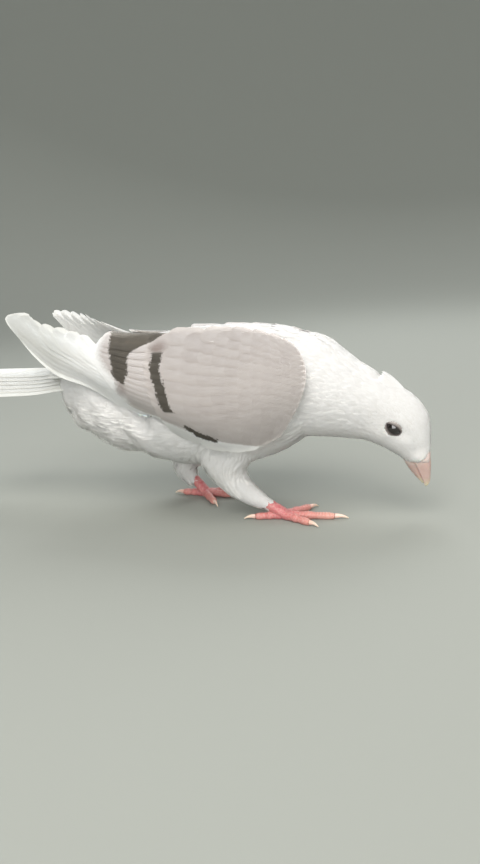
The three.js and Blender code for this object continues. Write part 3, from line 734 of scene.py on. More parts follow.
def foot_skin():
    """Scaly foot skin, carmine pink: blood shows through thin horn plates, paler out to the toes' ends."""
    made, tree, shader = finish("foot_skin", "#E0757C", 0.5, Subsurface_Weight=0.25, Subsurface_Scale=0.001,
                                Subsurface_Radius=(1.0, 0.35, 0.3))
    place = add(tree, "TexCoord", out="Object")
    # The blood shows in patches of 5.5 mm, and the small scales are 1.1 mm across.
    patches = add(tree, "TexNoise", {"Vector": place, "Scale": 0.18 * PER_MM, "Detail": 2.0})
    cells = add(tree, "TexVoronoi", {"Vector": place, "Scale": 0.9 * PER_MM})
    reach = add(tree, "Attribute", out="Fac", attribute_name="reach")
    blood = add(tree, "Mix", {0: patches, 6: "#A94855", 7: "#BD6A6C"}, **COLOURS)
    colour = add(tree, "Mix", {0: reach, 6: blood, 7: "#C29383"}, **COLOURS)
    edge = add(tree, "MapRange", {0: cells, 1: 0.3, 2: 0.7, 4: 0.35})
    colour = add(tree, "Mix", {0: edge, 6: colour, 7: "#C9A298"}, **COLOURS)
    tree.links.new(colour, shader.inputs["Base Color"])
    bump = add(tree, "Bump", {"Height": cells, "Distance": 0.12 * MM, "Strength": 0.5})
    tree.links.new(bump, shader.inputs["Normal"])
    return made


def claw_horn():
    """Claws of pale horn, polished by wear and pinker where the quick shows at the root."""
    made, tree, shader = finish("claw_horn", "#CDB9AB", 0.35, Subsurface_Weight=0.1, Subsurface_Scale=0.001)
    along = add(tree, "Attribute", out="Fac", attribute_name="along")
    colour = add(tree, "Mix", {0: along, 6: "#D8B3A6", 7: "#CFC0AC"}, **COLOURS)
    tree.links.new(colour, shader.inputs["Base Color"])
    return made


def lid_skin():
    """Bare eyelid skin, thin and greyish, with fine folds; darkest at the opening, partly its own darker skin
    and partly painted shade of the gap round the eyeball.
    """
    made, tree, shader = finish("lid_skin", "#8F8480", 0.6)
    place = add(tree, "TexCoord", out="Object")
    along = add(tree, "Attribute", out="Fac", attribute_name="along")
    # Painted shade in part: the lids darken towards the gap round the eyeball, partly their own darker skin
    # and partly the shade in that gap
    outward = add(tree, "MapRange", {0: along, 1: 0.12, 2: 0.9})
    colour = add(tree, "Mix", {0: outward, 6: "#3A3331", 7: "#A8A19C"}, **COLOURS)
    tree.links.new(colour, shader.inputs["Base Color"])
    # Folds 0.7 mm apart.
    wrinkle = add(tree, "TexNoise", {"Vector": place, "Scale": 1.5 * PER_MM, "Detail": 2.0})
    bump = add(tree, "Bump", {"Height": wrinkle, "Distance": 0.1 * MM, "Strength": 0.5})
    tree.links.new(bump, shader.inputs["Normal"])
    return made


def eye_wet():
    """A bull eye: iris almost as dark as the pupil, under a wet cornea that mirrors the light."""
    return finish("eye_wet", "#120B09", 0.06, Coat_Weight=1.0, Coat_Roughness=0.02)[0]


WHITE = plumage_white()
FLIGHT = plumage_flight()
SHIELD = plumage_shield()
SKIN = bird_skin()


def dress(made, material):
    """Gives a piece its material and fixes it to the body."""
    made.data.materials.clear()
    made.data.materials.append(material)
    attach(made, "root")
    return made


# The skin.

COAT = {"trunk": 2.0, "neck": 1.5, "head": 0.9, "leg": 1.4}


def neck_coat(u):
    """The coat's depth along neck and head."""
    return lerp(COAT["neck"], COAT["head"], smoothstep(0.35, 0.6, u)) * lerp(1, 0.45, smoothstep(0.8, 1, u))


def mesh_arrays(made):
    mesh = made.data
    mesh.calc_loop_triangles()
    points = np.empty(len(mesh.vertices) * 3)
    mesh.vertices.foreach_get("co", points)
    points = (points.reshape(-1, 3) - SHIFT) / MM
    normals = np.empty(len(mesh.vertices) * 3)
    mesh.vertices.foreach_get("normal", normals)
    faces = np.empty(len(mesh.loop_triangles) * 3, np.int32)
    mesh.loop_triangles.foreach_get("vertices", faces)
    return points, normals.reshape(-1, 3), faces.reshape(-1, 3)


EYE_RADIUS = 4.6
EYE_SUNK = 0.45  # deeper than the plain ball of the CAD, so that the lids can close over it
OPENING = (4.15, 2.1)  # half length and half height of the gap between the lids
LID_REACH = (5.9, 4.35)
EYE_TURN = math.radians(28)  # the gap's long way, turned from the bill's line towards the crown


def eye_frame(key):
    """The eyeball's centre and the ways along the gap, up across it and out of the head."""
    low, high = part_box("eye_" + key)
    centre = (np.array((low + high) / 2) - SHIFT) / MM
    u, angle = np.meshgrid(np.linspace(0.5, 0.8, 150), np.linspace(0, 2 * math.pi, 400))
    face = neck(u.ravel(), angle.ravel())
    out = unit(face[np.linalg.norm(face - centre, axis=1).argmin()] - centre)
    origin = on_head(0.0, 0.0, 0.0)
    along = on_head(math.cos(EYE_TURN), 0.0, math.sin(EYE_TURN)) - origin
    along = unit(along - out * along.dot(out))
    up = np.cross(along, out) * SIDES[key]
    return {"centre": centre - out * EYE_SUNK, "along": along, "up": up * np.sign(up[2]), "out": out}


EYES = {key: eye_frame(key) for key in SIDES}


def from_eye(points):
    """How far points lie from the nearer eye, where 1 is the lids' outer rim."""
    nearest = np.full(points.shape[:-1], 9.0)
    for eye in EYES.values():
        off = points - eye["centre"]
        far = np.hypot(off @ eye["along"] / LID_REACH[0], off @ eye["up"] / LID_REACH[1])
        nearest = np.where(off @ eye["out"] > -3, np.minimum(nearest, far), nearest)
    return nearest


CLUMP = 7.0  # millimetres from one clump of feathers to the next
LOOSE_DEPTH = 4.0  # how much the skin rises and falls with the clumps under the down


def lumps(points, size):
    """Soft clumps of feathers: from 0 between them to 1 on top."""
    return np.clip([0.5 + 0.8 * noise.noise(Vector(p) / size) for p in points.tolist()], 0, 1)


def fluff(points):
    """How loose the coat is: 1 low at the rear, where it hangs in down, and 0 on back and breast."""
    return smoothstep(-20, -65, points[:, 0]) * smoothstep(78, 55, points[:, 2])


# Where the neck's feathers stand off in clumps: place, reach and height.
RUFFLES = [
    ((58, -3, 101), 14, 1.6),
    ((83, 0, 84), 8, 1.3),
    ((103, 0, 71), 13, 0.7),
]


def ruffle(points):
    """How far the neck's feathers stand off there, clump by clump."""
    rise = np.zeros(len(points))
    for place, reach, most in RUFFLES:
        near = np.linalg.norm(points - np.array(place), axis=1)
        rise = np.maximum(rise, most * smoothstep(reach, 0.4 * reach, near))
    return rise * (0.75 + 0.45 * lumps(points, 0.5 * CLUMP))


EYE_POCKET = 2.6  # how far the skin sinks behind the lids, so that only the eyeball fills their gap
# Bumps of the skin round each eye: how far along the gap and up across it, the height and the spread.
BROW_BUMPS = [(-0.5, 5.2, 0.7, 3.2), (8.0, 0.5, -0.7, 3.0), (0.0, -4.9, 1.0, 2.6)]
# The cheek fills out beside the bill: its place in the head's frame, and height and spread of the bump.
CHEEK = (21.0, 3.6, 3.6)
CHEEK_RISE, CHEEK_SPREAD = 1.3, 3.6
# The flank gives way along a line under the wing: from where to where, how low, how deep and how wide.
HOLLOW_LINE = (0.56, 0.86, 7)
HOLLOW_LOW = -7.0
HOLLOW_DEPTH = 4.0
HOLLOW_REACH = 13.0


def flank_hollow(points):
    """How far the flank gives way under the flight feathers' lower edge, so that the wing laps over it."""
    sink = np.zeros(len(points))
    for side in SIDES.values():
        s = np.linspace(*HOLLOW_LINE)
        line, _ = wing_face(side, s, np.full(len(s), HOLLOW_LOW))
        for spot in line:
            near = np.linalg.norm(points - spot, axis=1)
            sink = np.maximum(sink, HOLLOW_DEPTH * smoothstep(HOLLOW_REACH, 0.3 * HOLLOW_REACH, near))
    return sink


def brow(made):
    """The skin rises and sinks round each eye, under the down and the wing, and fills out beside the bill."""
    points, normals, _ = mesh_arrays(made)
    move = np.zeros(len(points))
    for eye in EYES.values():
        for along, up, rise, spread in BROW_BUMPS:
            spot = eye["centre"] + eye["along"] * along + eye["up"] * up + eye["out"] * 3
            move += rise * np.exp(-((points - spot) ** 2).sum(1) / spread ** 2)
    move += LOOSE_DEPTH * (lumps(points, 1.8 * CLUMP) - 0.7) * fluff(points)
    move += ruffle(points) - flank_hollow(points)
    move -= EYE_POCKET * smoothstep(0.88, 0.64, from_eye(points))
    for side in SIDES.values():
        cheek = on_head(CHEEK[0], side * CHEEK[1], CHEEK[2])
        move += CHEEK_RISE * np.exp(-((points - cheek) ** 2).sum(1) / CHEEK_SPREAD ** 2)
    made.data.vertices.foreach_set("co", placed(points + normals * move[:, None]).ravel())
    made.data.update()


HIP_SMOOTHING = 60


def soften_hips(made):
    """The crease where a thigh leaves the trunk is filled, as the flank's feathers run over it."""
    u, angle = np.meshgrid(np.linspace(0, 1, 60), np.linspace(0, 2 * math.pi, 60))
    u, angle = u.ravel(), angle.ravel()
    trees = []
    for shape in (trunk, lambda u, a: thigh("right", u, a), lambda u, a: thigh("left", u, a)):
        tree = KDTree(len(u))
        for k, spot in enumerate(shape(u, angle).tolist()):
            tree.insert(spot, k)
        tree.balance()
        trees.append(tree)
    group = made.vertex_groups.new(name="hips")
    for k, spot in enumerate(mesh_arrays(made)[0].tolist()):
        body, *legs = [tree.find(spot)[2] for tree in trees]
        weight = 1 - max(body, min(legs)) / 13
        if weight > 0 and spot[2] > 22:
            group.add([k], min(1, 2 * weight), "REPLACE")
    soften = made.modifiers.new("hips", "SMOOTH")
    soften.vertex_group = "hips"
    soften.iterations = HIP_SMOOTHING
    bpy.ops.object.modifier_apply(modifier=soften.name)
    made.vertex_groups.clear()


def body_skin():
    """Trunk, neck, head, thighs, shanks and fleshy wings as one skin."""
    parts = [
        lofted("trunk_flesh", 64, 60, lambda u, a: trunk(u, a, COAT["trunk"])),
        lofted("neck_flesh", 56, 70, lambda u, a: neck(u, a, neck_coat(u))),
    ]
    for key, side in SIDES.items():
        parts.append(lofted("thigh_flesh", 32, 40, lambda u, a: thigh(key, u, a, COAT["leg"])))
        parts.append(lofted("shank_flesh", 16, 12, lambda u, a: tube(shank_rows(key, 0.7), (1, 0, 0), u, a)))
        parts.append(lofted("wing_flesh", 40, 50, lambda u, a: wing_pad(side, u, a)))
    whole = fused("skin", parts, 1.1, 12)
    soften_hips(whole)
    brow(whole)
    return whole


skin = dress(body_skin(), SKIN)
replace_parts(skin, "torso", "neck", "head", "leg_right", "leg_left")
skin_points, skin_normals, skin_faces = mesh_arrays(skin)
skin_tree = BVHTree.FromPolygons(skin_points.tolist(), skin_faces.tolist())
face_normals = unit(skin_normals[skin_faces].mean(1))
TUCK = 2.6  # the body's feathers go this deep where the wing covers them


def onto_skin(points):
    """The nearest spots of the skin, the way it faces there, and how far off they are."""
    flat = points.reshape(-1, 3)
    spots, faces, far = np.empty_like(flat), np.empty(len(flat), int), np.empty(len(flat))
    for k, p in enumerate(flat.tolist()):
        spot, _, face, distance = skin_tree.find_nearest(p)
        spots[k], faces[k], far[k] = spot, face, distance
    shape = points.shape
    out = face_normals[faces].reshape(shape)
    return spots.reshape(shape), out, far.reshape(shape[:-1]), faces.reshape(shape[:-1])


# The lie of the coat.

# Each part of the body: its surface, the way that feathers lie along it, and its place on the paint map.
BODY_PARTS = {
    "trunk": (trunk, 1, (0.0, 0.0, 0.5, 0.6)),
    "neck": (neck, -1, (0.5, 0.0, 0.5, 0.6)),
    "leg_right": (lambda u, a: thigh("right", u, a), 1, (0.0, 0.62, 0.24, 0.36)),
    "leg_left": (lambda u, a: thigh("left", u, a), 1, (0.25, 0.62, 0.24, 0.36)),
    "wing_right": (lambda u, a: wing_pad(RIGHT, u, a), 1, (0.5, 0.62, 0.24, 0.36)),
    "wing_left": (lambda u, a: wing_pad(LEFT, u, a), 1, (0.75, 0.62, 0.24, 0.36)),
}
PART_NAMES = list(BODY_PARTS)


def lie_samples():
    """Spots all over the body with the coat's direction there, the part and its place (u, angle)."""
    gathered = []
    u, angle = np.meshgrid(np.linspace(0.01, 0.99, 70), np.linspace(0, 2 * math.pi, 48, endpoint=False))
    u, angle = u.ravel(), angle.ravel()
    for number, (shape, way, _) in enumerate(BODY_PARTS.values()):
        spots = shape(u, angle)
        lie = unit(shape(np.minimum(u + 0.01, 1), angle) - shape(u - 0.01, angle)) * way
        far = onto_skin(spots)[2]
        kept = far < 3.2
        gathered.append(np.column_stack([spots, lie, np.full(len(u), number), u, angle])[kept])
    return np.concatenate(gathered)


SAMPLES = lie_samples()
sample_tree = KDTree(len(SAMPLES))
for index, row in enumerate(SAMPLES[:, :3].tolist()):
    sample_tree.insert(row, index)
sample_tree.balance()


def lie_at(points, normals):
    """For spots of the skin: the lie of the coat, the part's number, u and angle."""
    lies, rows = np.empty_like(points), np.empty(len(points), int)
    for k, p in enumerate(points.tolist()):
        near = sample_tree.find_n(p, 7)
        weight = np.array([1 / (0.5 + distance) ** 2 for _, _, distance in near])
        lies[k] = (SAMPLES[[i for _, i, _ in near], 3:6] * weight[:, None]).sum(0)
        rows[k] = near[0][1]
    lies = unit(lies - normals * (lies * normals).sum(-1, keepdims=True))
    return lies, SAMPLES[rows, 6].astype(int), SAMPLES[rows, 7], SAMPLES[rows, 8]


near_wing = np.isin(lie_at(skin_points, skin_normals)[1], [4, 5]).astype(float)
add_attribute(skin.data, "wing", near_wing)
under_wing = np.isin(lie_at(skin_points[skin_faces].mean(1), face_normals)[1], [4, 5]).astype(float)


def scattered(spacing, seed):
    """Roots all over the skin, spacing(points, part, u) apart, with the lie of the coat at each."""
    random = np.random.default_rng(seed)
    corners = skin_points[skin_faces]
    area = np.linalg.norm(np.cross(corners[:, 1] - corners[:, 0], corners[:, 2] - corners[:, 0]), axis=-1) / 2
    middle = corners.mean(1)
    coarse = middle[::7]
    _, part, u, _ = lie_at(coarse, face_normals[::7])
    gap = np.repeat(spacing(coarse, part, u), 7)[: len(middle)]
    chance = area / gap ** 2
    total = int(chance.sum() * 5)
    picked = random.choice(len(area), total, p=chance / chance.sum())
    a, b = random.random((2, total, 1))
    turned = a + b > 1
    a, b = np.where(turned, 1 - a, a), np.where(turned, 1 - b, b)
    spots = corners[picked, 0] * (1 - a - b) + corners[picked, 1] * a + corners[picked, 2] * b
    near = KDTree(total)
    for k, p in enumerate(spots.tolist()):
        near.insert(p, k)
    near.balance()
    left = np.ones(total, bool)
    kept = []
    for k in range(total):
        if left[k]:
            kept.append(k)
            for _, other, _ in near.find_range(spots[k], gap[picked[k]]):
                left[other] = False
    kept = np.array(kept)
    normals = face_normals[picked[kept]]
    lies, part, u, angle = lie_at(spots[kept], normals)
    return {"spot": spots[kept], "out": normals, "lie": lies, "part": part, "u": u, "angle": angle}


def paint_spots(roots):
    """Each root's place on the unwrap of the body's own shape."""
    boxes = np.array([box for _, _, box in BODY_PARTS.values()])[roots["part"]]
    share = np.stack([roots["u"], roots["angle"] / (2 * math.pi)], -1)
    return boxes[:, :2] + (0.02 + 0.96 * share) * boxes[:, 2:]


def chosen(roots, mask):
    return {name: values[mask] for name, values in roots.items()}


def on_body(roots):
    """A feather's spots, laid along the body from each root."""
    aside = np.cross(roots["lie"], roots["out"])

    def surface(along, across):
        flat = roots["spot"][:, None, None] + roots["lie"][:, None, None] * along[..., None]
        flat = flat + aside[:, None, None] * across[..., None]
        spots, out, _, faces = onto_skin(flat)
        return spots - out * (TUCK * under_wing[faces])[..., None], out

    return surface


def is_part(part, *names):
    return np.isin(part, [PART_NAMES.index(name) for name in names])


STOCKING_END = -3.0  # millimetres past the end of the thigh's rows, so the last feathers root above it


def in_stocking(points, key):
    """Whether feathers root there: the stocking ends in a ragged line where the bare shank begins."""
    end = np.array(THIGHS[key][-1][:3])
    way = unit(np.array([*FEET[key]["centre"], 3.6]) - end)
    fray = np.array([noise.noise(Vector(p)) for p in points.tolist()])
    return (points - end) @ way < STOCKING_END + 3 * fray


def coat_spacing(points, part, u):
    """How far apart the coat's feathers root: close on the head and the shins, closest round the eye."""
    gap = lerp(1.7, 2.3, smoothstep(70, 80, points[:, 2]))
    neck_part = is_part(part, "neck")
    gap[neck_part] = lerp(1.6, 0.85, smoothstep(0.3, 0.62, u[neck_part]))
    gap[neck_part & (u > 0.8)] = 0.58
    legs = is_part(part, "leg_right", "leg_left")
    gap[legs] = lerp(1.8, 1.0, smoothstep(0.3, 0.8, u[legs]))
    gap[is_part(part, "wing_right", "wing_left")] = 12
    gap = gap * lerp(1, 0.7, fluff(points))
    return np.minimum(gap, lerp(0.46, 3, smoothstep(1.2, 2.6, from_eye(points))))


# How the coat treats the eye, as shares of the way to the lids' outer rim.
EYE_RING = (0.9, 2.4)  # where the feathers are smallest and where they have grown to full size
BARE_ROOTS, BARE_TIPS = 0.8, 0.72  # no feather roots nearer than this, and none ends nearer


def coat(name, roots, mask, length, half, depth, **look):
    """One piece of the body's coat: feathers of the roots that mask keeps."""
    near_eye = from_eye(roots["spot"])
    grown = smoothstep(*EYE_RING, near_eye)
    length = np.broadcast_to(length, mask.shape) * lerp(0.42, 1, grown)
    half = np.broadcast_to(half, mask.shape) * lerp(0.7, 1, grown)
    depth = depth * lerp(0.45, 1, grown)
    tips = from_eye(roots["spot"] + roots["lie"] * length[:, None])
    mask = mask & (near_eye > BARE_ROOTS) & (tips > BARE_TIPS)
    kept = chosen(roots, mask)
    pick = lambda v: np.broadcast_to(v, mask.shape)[mask]
    random = np.random.default_rng(len(name))
    vary = 0.85 + 0.3 * random.random(mask.sum())
    level = 0.94 + 0.12 * random.random(mask.sum())
    look = {key: pick(v) if isinstance(v, np.ndarray) else v for key, v in look.items()}
    made = vanes(name, on_body(kept), pick(length) * vary, pick(half) * vary, -0.4,
                 pick(depth) * level, spots=paint_spots(kept), **look)
    return dress(made, WHITE)


BACK_Z = 74  # above this height the trunk wears the back's broad feathers
HEAD_U = 0.47  # where along the neck the head's short feathers begin
coat_roots = scattered(coat_spacing, 11)
coat_u = coat_roots["u"]
on_neck = is_part(coat_roots["part"], "neck")
on_trunk = is_part(coat_roots["part"], "trunk")
loose = fluff(coat_roots["spot"])
clump = lumps(coat_roots["spot"], CLUMP)
upper = coat_roots["spot"][:, 2] > BACK_Z
coat("plumage_back", coat_roots, on_trunk & upper, 13.0, 2.5, 2.0, rows=6, columns=3, ragged=1.5,
     camber=0.02, point=1.6, thick=0.06, step=0.5)
coat("plumage_belly", coat_roots, on_trunk & ~upper, 12 - 3 * loose, 1.5 - 0.6 * loose,
     2.0 + 0.5 * clump * loose, rows=5, columns=3, ragged=2.5, camber=0.03, point=2.8, thick=0.05,
     step=0.4 + 0.3 * loose)
head_share = smoothstep(0.3, 0.62, coat_u)
coat("plumage_neck", coat_roots, on_neck & (coat_u <= HEAD_U), lerp(11, 5.0, head_share),
     lerp(1.7, 0.7, head_share), neck_coat(coat_u), rows=5, columns=3, ragged=1.8, camber=0.03,
     point=2.4, thick=0.05, step=0.4)
face_share = smoothstep(0.72, 0.95, coat_u)
coat("plumage_head", coat_roots, on_neck & (coat_u > HEAD_U),
     lerp(11, 5.0, head_share) * lerp(1, 0.5, face_share),
     lerp(1.7, 0.7, head_share) * lerp(1, 0.6, face_share), neck_coat(coat_u), rows=4, columns=3,
     ragged=0.8, camber=0.03, thick=0.035, point=2.4, step=0.14)
shin = smoothstep(0.3, 0.8, coat_u)
for key in SIDES:
    dressed = is_part(coat_roots["part"], "leg_" + key) & in_stocking(coat_roots["spot"], key)
    coat("plumage_leg_" + key, coat_roots, dressed, lerp(11, 5.5, shin),
         lerp(1.6, 0.8, shin), 1.4, rows=5, columns=3, ragged=1.5, thick=0.05, camber=0.03, point=2.4,
         step=0.4)


def down_spacing(points, part, u):
    """Down grows at the vent, on the flank and high on the thighs."""
    gap = np.where(fluff(points) > 0.1, 1.0, 14.0)
    legs = is_part(part, "leg_right", "leg_left")
    gap[legs & (u < 0.5)] = 1.6
    gap[is_part(part, "wing_right", "wing_left")] = 14.0
    return gap


def down(name):
    """Loose fine strands that stand off the coat and break up its outline."""
    roots = scattered(down_spacing, 17)
    legs = is_part(roots["part"], "leg_right", "leg_left")
    soft = np.maximum(fluff(roots["spot"]), 0.25 * legs)
    soft[legs & (roots["u"] > 0.75)] = 0
    random = np.random.default_rng(19)
    reach = 6 + 5 * random.random(len(soft))
    rise = 1.8 + (0.5 + 2.5 * lumps(roots["spot"], 0.5 * CLUMP)) * random.random(len(soft)) * soft
    return coat(name, roots, soft > 0.1, reach, 0.2 + 0.2 * random.random(len(soft)), rise, rows=5, columns=3,
                ragged=1.0, camber=0.0, thick=0.03, point=3.0, step=0.5)


down("plumage_down")


# Wings.

WING_EDGE = 1.5  # below this height the feathers run on straight, past the wing's rounded lower edge


def on_wing(side, root, tip, tilt):
    """Feathers lying on the wing's outer face from root to tip, each (s, low) for every feather."""
    root, tip = np.asarray(root, float), np.asarray(tip, float)

    def surface(along, across):
        share = along / np.linalg.norm((tip - root) * [CHORD, 1], axis=-1)[:, None, None]
        s = lerp(root[:, None, None, 0], tip[:, None, None, 0], share)
        low = lerp(root[:, None, None, 1], tip[:, None, None, 1], share) + across
        s = np.clip(s, 0, 1)
        base, out = wing_face(side, s, np.maximum(low, WING_EDGE))
        rise = wing_face(side, s, 0 * low + WING_EDGE + 1)[0] - wing_face(side, s, 0 * low + WING_EDGE)[0]
        beyond = np.minimum(low - WING_EDGE, 0)[..., None]
        return base + rise * beyond - out * (across * tilt)[..., None], out

    return surface


def wing_vanes(name, side, root, tip, half, root_lift, tip_lift, tilt, **look):
    """Feathers of one row of the wing, each as long as the way from its root to its tip."""
    root, tip = np.asarray(root, float), np.asarray(tip, float)
    length = np.linalg.norm((tip - root) * [CHORD, 1], axis=-1)
    return vanes(name, on_wing(side, root, tip, tilt), length, half, root_lift, tip_lift, **look)


# How much shorter than the wing each flight feather of the blade ends.
PRIMARY_SHORT = {RIGHT: [4, 0, 1, 3, 7, 13, 21, 30, 39, 48], LEFT: [9, 4, 1, 0, 2, 5, 10, 16, 24, 33, 42, 51]}
PRIMARY_FIRST = {RIGHT: 0, LEFT: -2}  # the far blade shows two more, below the near one's lowest
PRIMARY_HALF = 7.8
OPEN_TOP = 11.5  # the far wing lies more open: its blade rises this far over the near one's line
TERTIAL_INSET = {RIGHT: 2.2, LEFT: 5.0}  # how far under the wing's upper edge the last of them ends
COVERTS_END = 0.44  # no tier ends further along the wing
COVERT_SIZES = (6.0, 26)  # the length of the first tier and the most that a tier grows to
COVERT_GROWTH = 1.16
COVERT_SHOWN = 0.42  # the share of each tier that the next one in front leaves open


def primaries(side):
    """The flight feathers of the blade, the outermost and lowest first."""
    short = np.array(PRIMARY_SHORT[side], float)
    k = np.arange(len(short)) + PRIMARY_FIRST[side]
    tip_s = 1 - short / CHORD
    width = wing_width(side, tip_s)
    folded = lerp(4.6, width - 4.2, np.minimum(1, k / 3))
    opened = np.minimum(3.4 * k - 4 + 2.2 * np.maximum(0, k - 2), width + OPEN_TOP - PRIMARY_HALF)
    rise = folded if side == RIGHT else opened
    root = np.column_stack([0.3 + 0.02 * k, 4.9 * k - 9.5])
    return wing_vanes("primaries", side, root, np.column_stack([tip_s, rise]), PRIMARY_HALF, -4.0 + 0.1 * k,
                      -3.6 + 0.33 * k, 0.02, rows=40, columns=11, thick=0.16, shaft=0.18, camber=0.0,
                      point=1.1, ragged=0.3, strips=(0, 0.15))


def secondaries(side):
    """The flight feathers of the arm, the lowest first."""
    share = np.linspace(0, 1, 12)
    tip_s = 0.58 + 0.085 * np.sin(2.1 * share)
    root = np.column_stack([0.3 + 0.03 * share, lerp(12, wing_width(side, np.full(12, 0.33)) * 0.94, share)])
    tip = np.column_stack([tip_s, lerp(11, wing_width(side, tip_s) - TERTIAL_INSET[side], share)])
    return wing_vanes("secondaries", side, root, tip, 6.6, -3.2 + 0.06 * np.arange(12),
                      -0.9 + 0.06 * np.arange(12), 0.05, rows=26, columns=9, thick=0.14, shaft=0.15,
                      camber=0.0, ragged=0.3, strips=(0.15, 0.3))


COVERT_TIERS = 20


def covert_rows(side):
    """Tiers of coverts, small and scale-like at the shoulder and long over the flight feathers."""
    pieces = []
    tip_s, size = 0.03, COVERT_SIZES[0]
    number = 0
    while tip_s < COVERTS_END:
        half = lerp(2.2, 5.6, size / COVERT_SIZES[1])
        width = wing_width(side, np.array([tip_s]))[0]
        count = int(width * 0.94 / (half * 1.25))
        share = (np.arange(count) + 0.5 * (number % 2)) / count
        share = share[share < 1]
        lag = 0.05 * share * min(1, tip_s / 0.2)
        root_s = np.maximum(tip_s + lag - size / CHORD, 0.001)
        low = lambda s: wing_width(side, s) * lerp(0.03, 0.965, share)
        root = np.column_stack([root_s, low(root_s)])
        tip = np.column_stack([tip_s + lag, low(tip_s + lag)])
        strips = (0.3 + 0.7 * number / COVERT_TIERS, 0.3 + 0.7 * (number + 1) / COVERT_TIERS)
        made = wing_vanes("tier", side, root, tip, half, -1.2, 0.3, 0.02, rows=11, columns=9,
                          camber=0.0, thick=0.05, ragged=0.5, relief=0.02, step=0.4, seed=number + 5,
                          strips=strips)
        pieces.append(made)
        number += 1
        tip_s += size * COVERT_SHOWN / CHORD
        size = min(size * COVERT_GROWTH, COVERT_SIZES[1])
    return pieces


def wing(key, side):
    """One folded wing with all its feathers."""
    pieces = [primaries(side), secondaries(side)] + covert_rows(side)
    made = joined("wing_feathers_" + key, pieces)
    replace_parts(dress(made, SHIELD), "wing_" + key)


for key, side in SIDES.items():
    wing(key, side)


# Tail.

TAIL_ROOT_X = -91
TAIL_RIDGE_Z = 89.5
TAIL_LENGTH = 103
TAIL_LAYER = 0.55
TAIL_HALF = 8.6  # half the width of one tail feather
TAIL_FLAT = 2  # how far aside the level middle feathers reach
TAIL_SLOPE = 0.45
ROOT_ROUND = 60  # millimetres; the underside of the tail's root is this gently rounded


def on_tail(place, layer, up=1):
    """The tail's roof, or for up = -1 the rounded underside of its root."""
    def surface(along, across):
        y = place(along) + across
        outer = np.clip(across * np.sign(place(along)) / TAIL_HALF, 0, 1)
        roof = TAIL_SLOPE * np.maximum(0, np.abs(y) - TAIL_FLAT) + outer ** 3
        lean = TAIL_SLOPE * np.sign(y) * (np.abs(y) > TAIL_FLAT)
        if up < 0:
            roof, lean = -y * y / ROOT_ROUND, y / (ROOT_ROUND / 2)
        base = np.stack([TAIL_ROOT_X - along, y, TAIL_RIDGE_Z - roof - layer[:, None, None]], -1)
        return base, unit(np.stack([0 * y, lean, up + 0 * y], -1))

    return surface


def tail_vanes():
    """Twelve tail feathers in a narrow fold, the middle pair on top."""
    k = np.repeat(np.arange(6), 2)
    side = np.tile([RIGHT, LEFT], 6)
    length = TAIL_LENGTH - 0.9 * k

    def place(along):
        apart = 1 + lerp(1.8, 2.8, along / TAIL_LENGTH) * k[:, None, None]
        return (side * 1.0)[:, None, None] * apart

    layer = TAIL_LAYER * (2 * k + (side == LEFT))
    return vanes("rectrices", on_tail(place, layer), length, TAIL_HALF, 0, 0, rows=30, columns=9,
                 thick=0.22, shaft=0.2, camber=0.0, point=0.9, ragged=0.4, strips=(0, 0.4))


# Coverts over and under the tail's root: height over the ridge, seed, number, how far they stand off, and
# whether they face up or down.
TAIL_COVERTS = {
    "over": (1.2, 3, 44, 0.6, 1),
    "under": (-12.0, 4, 70, 2.0, -1),
    "vent": (-13.0, 5, 70, 3.0, -1),
}


def tail_coverts():
    """The short feathers over and under the tail's root."""
    pieces = []
    for number, (rise, seed, count, stand, up) in enumerate(TAIL_COVERTS.values()):
        random = np.random.default_rng(seed)
        y = (10.5 + 1.5 * up) * np.linspace(-1, 1, count) + random.normal(0, 0.6, count)
        length = 27 + (18 - 4 * up) * random.random(count) - 0.6 * np.abs(y)
        layer = -rise - random.random(count) * 0.8
        place = lambda along: y[:, None, None] * (1 + 0.2 * along / 40)
        root_stand, tip_stand = (0.5, 0.45) if up > 0 else (1.0, 0.25)
        tips = tip_stand * stand * (0.5 + random.random(count))
        made = vanes("coverts", on_tail(place, layer, up), length, 2.2, root_stand * stand, tips, rows=9,
                     columns=5, ragged=4.0, point=2.6, thick=0.06, camber=0.05, seed=seed,
                     strips=(0.4 + 0.2 * number, 0.6 + 0.2 * number))
        pieces.append(made)
    return pieces


tail = joined("tail_feathers", [tail_vanes()] + tail_coverts())
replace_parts(dress(tail, FLIGHT), "tail")


# Bill and cere.

BILL_UPPER = [[14, 10.4, 0.2, 5], [19, 10.0, 0.2, 4.6], [25, 8.3, 0.1, 3.7], [30.5, 5.8, -0.2, 2.7],
              [35, 3.4, -0.6, 1.7], [37.4, 1.6, -0.9, 0.95], [38.2, 0.3, -0.8, 0.4]]
BILL_LOWER = [[14, 0.1, -5.6, 4.6], [19, 0.1, -5.6, 4.1], [25, 0.0, -5, 3.2], [30, -0.32, -3.8, 2.2],
              [33.5, -0.65, -2.7, 1.3], [36, -0.95, -1.9, 0.5]]
NOSTRIL = {"h": 22.4, "u": 3.6, "length": 2.0, "height": 0.5, "depth": 0.9}


def bill_half(rows, top):
    """The upper or the lower bill; the upper has a slit for a nostril on each side."""
    def place(u, angle):
        h, upper, lower, half = np.moveaxis(smooth(rows, u), -1, 0)
        y, rise = oval(angle, upper - lower, upper - lower, half, BILL_FULLNESS)
        edge = lower if top else upper
        level = edge + (np.maximum(rise, 0) if top else np.minimum(rise, 0))
        slant = level - NOSTRIL["u"] - 0.35 * (h - NOSTRIL["h"])
        slit = np.exp(-((h - NOSTRIL["h"]) / NOSTRIL["length"]) ** 2 - (slant / NOSTRIL["height"]) ** 2)
        return on_head(h, y - np.sign(y) * NOSTRIL["depth"] * slit * top, level)

    return place


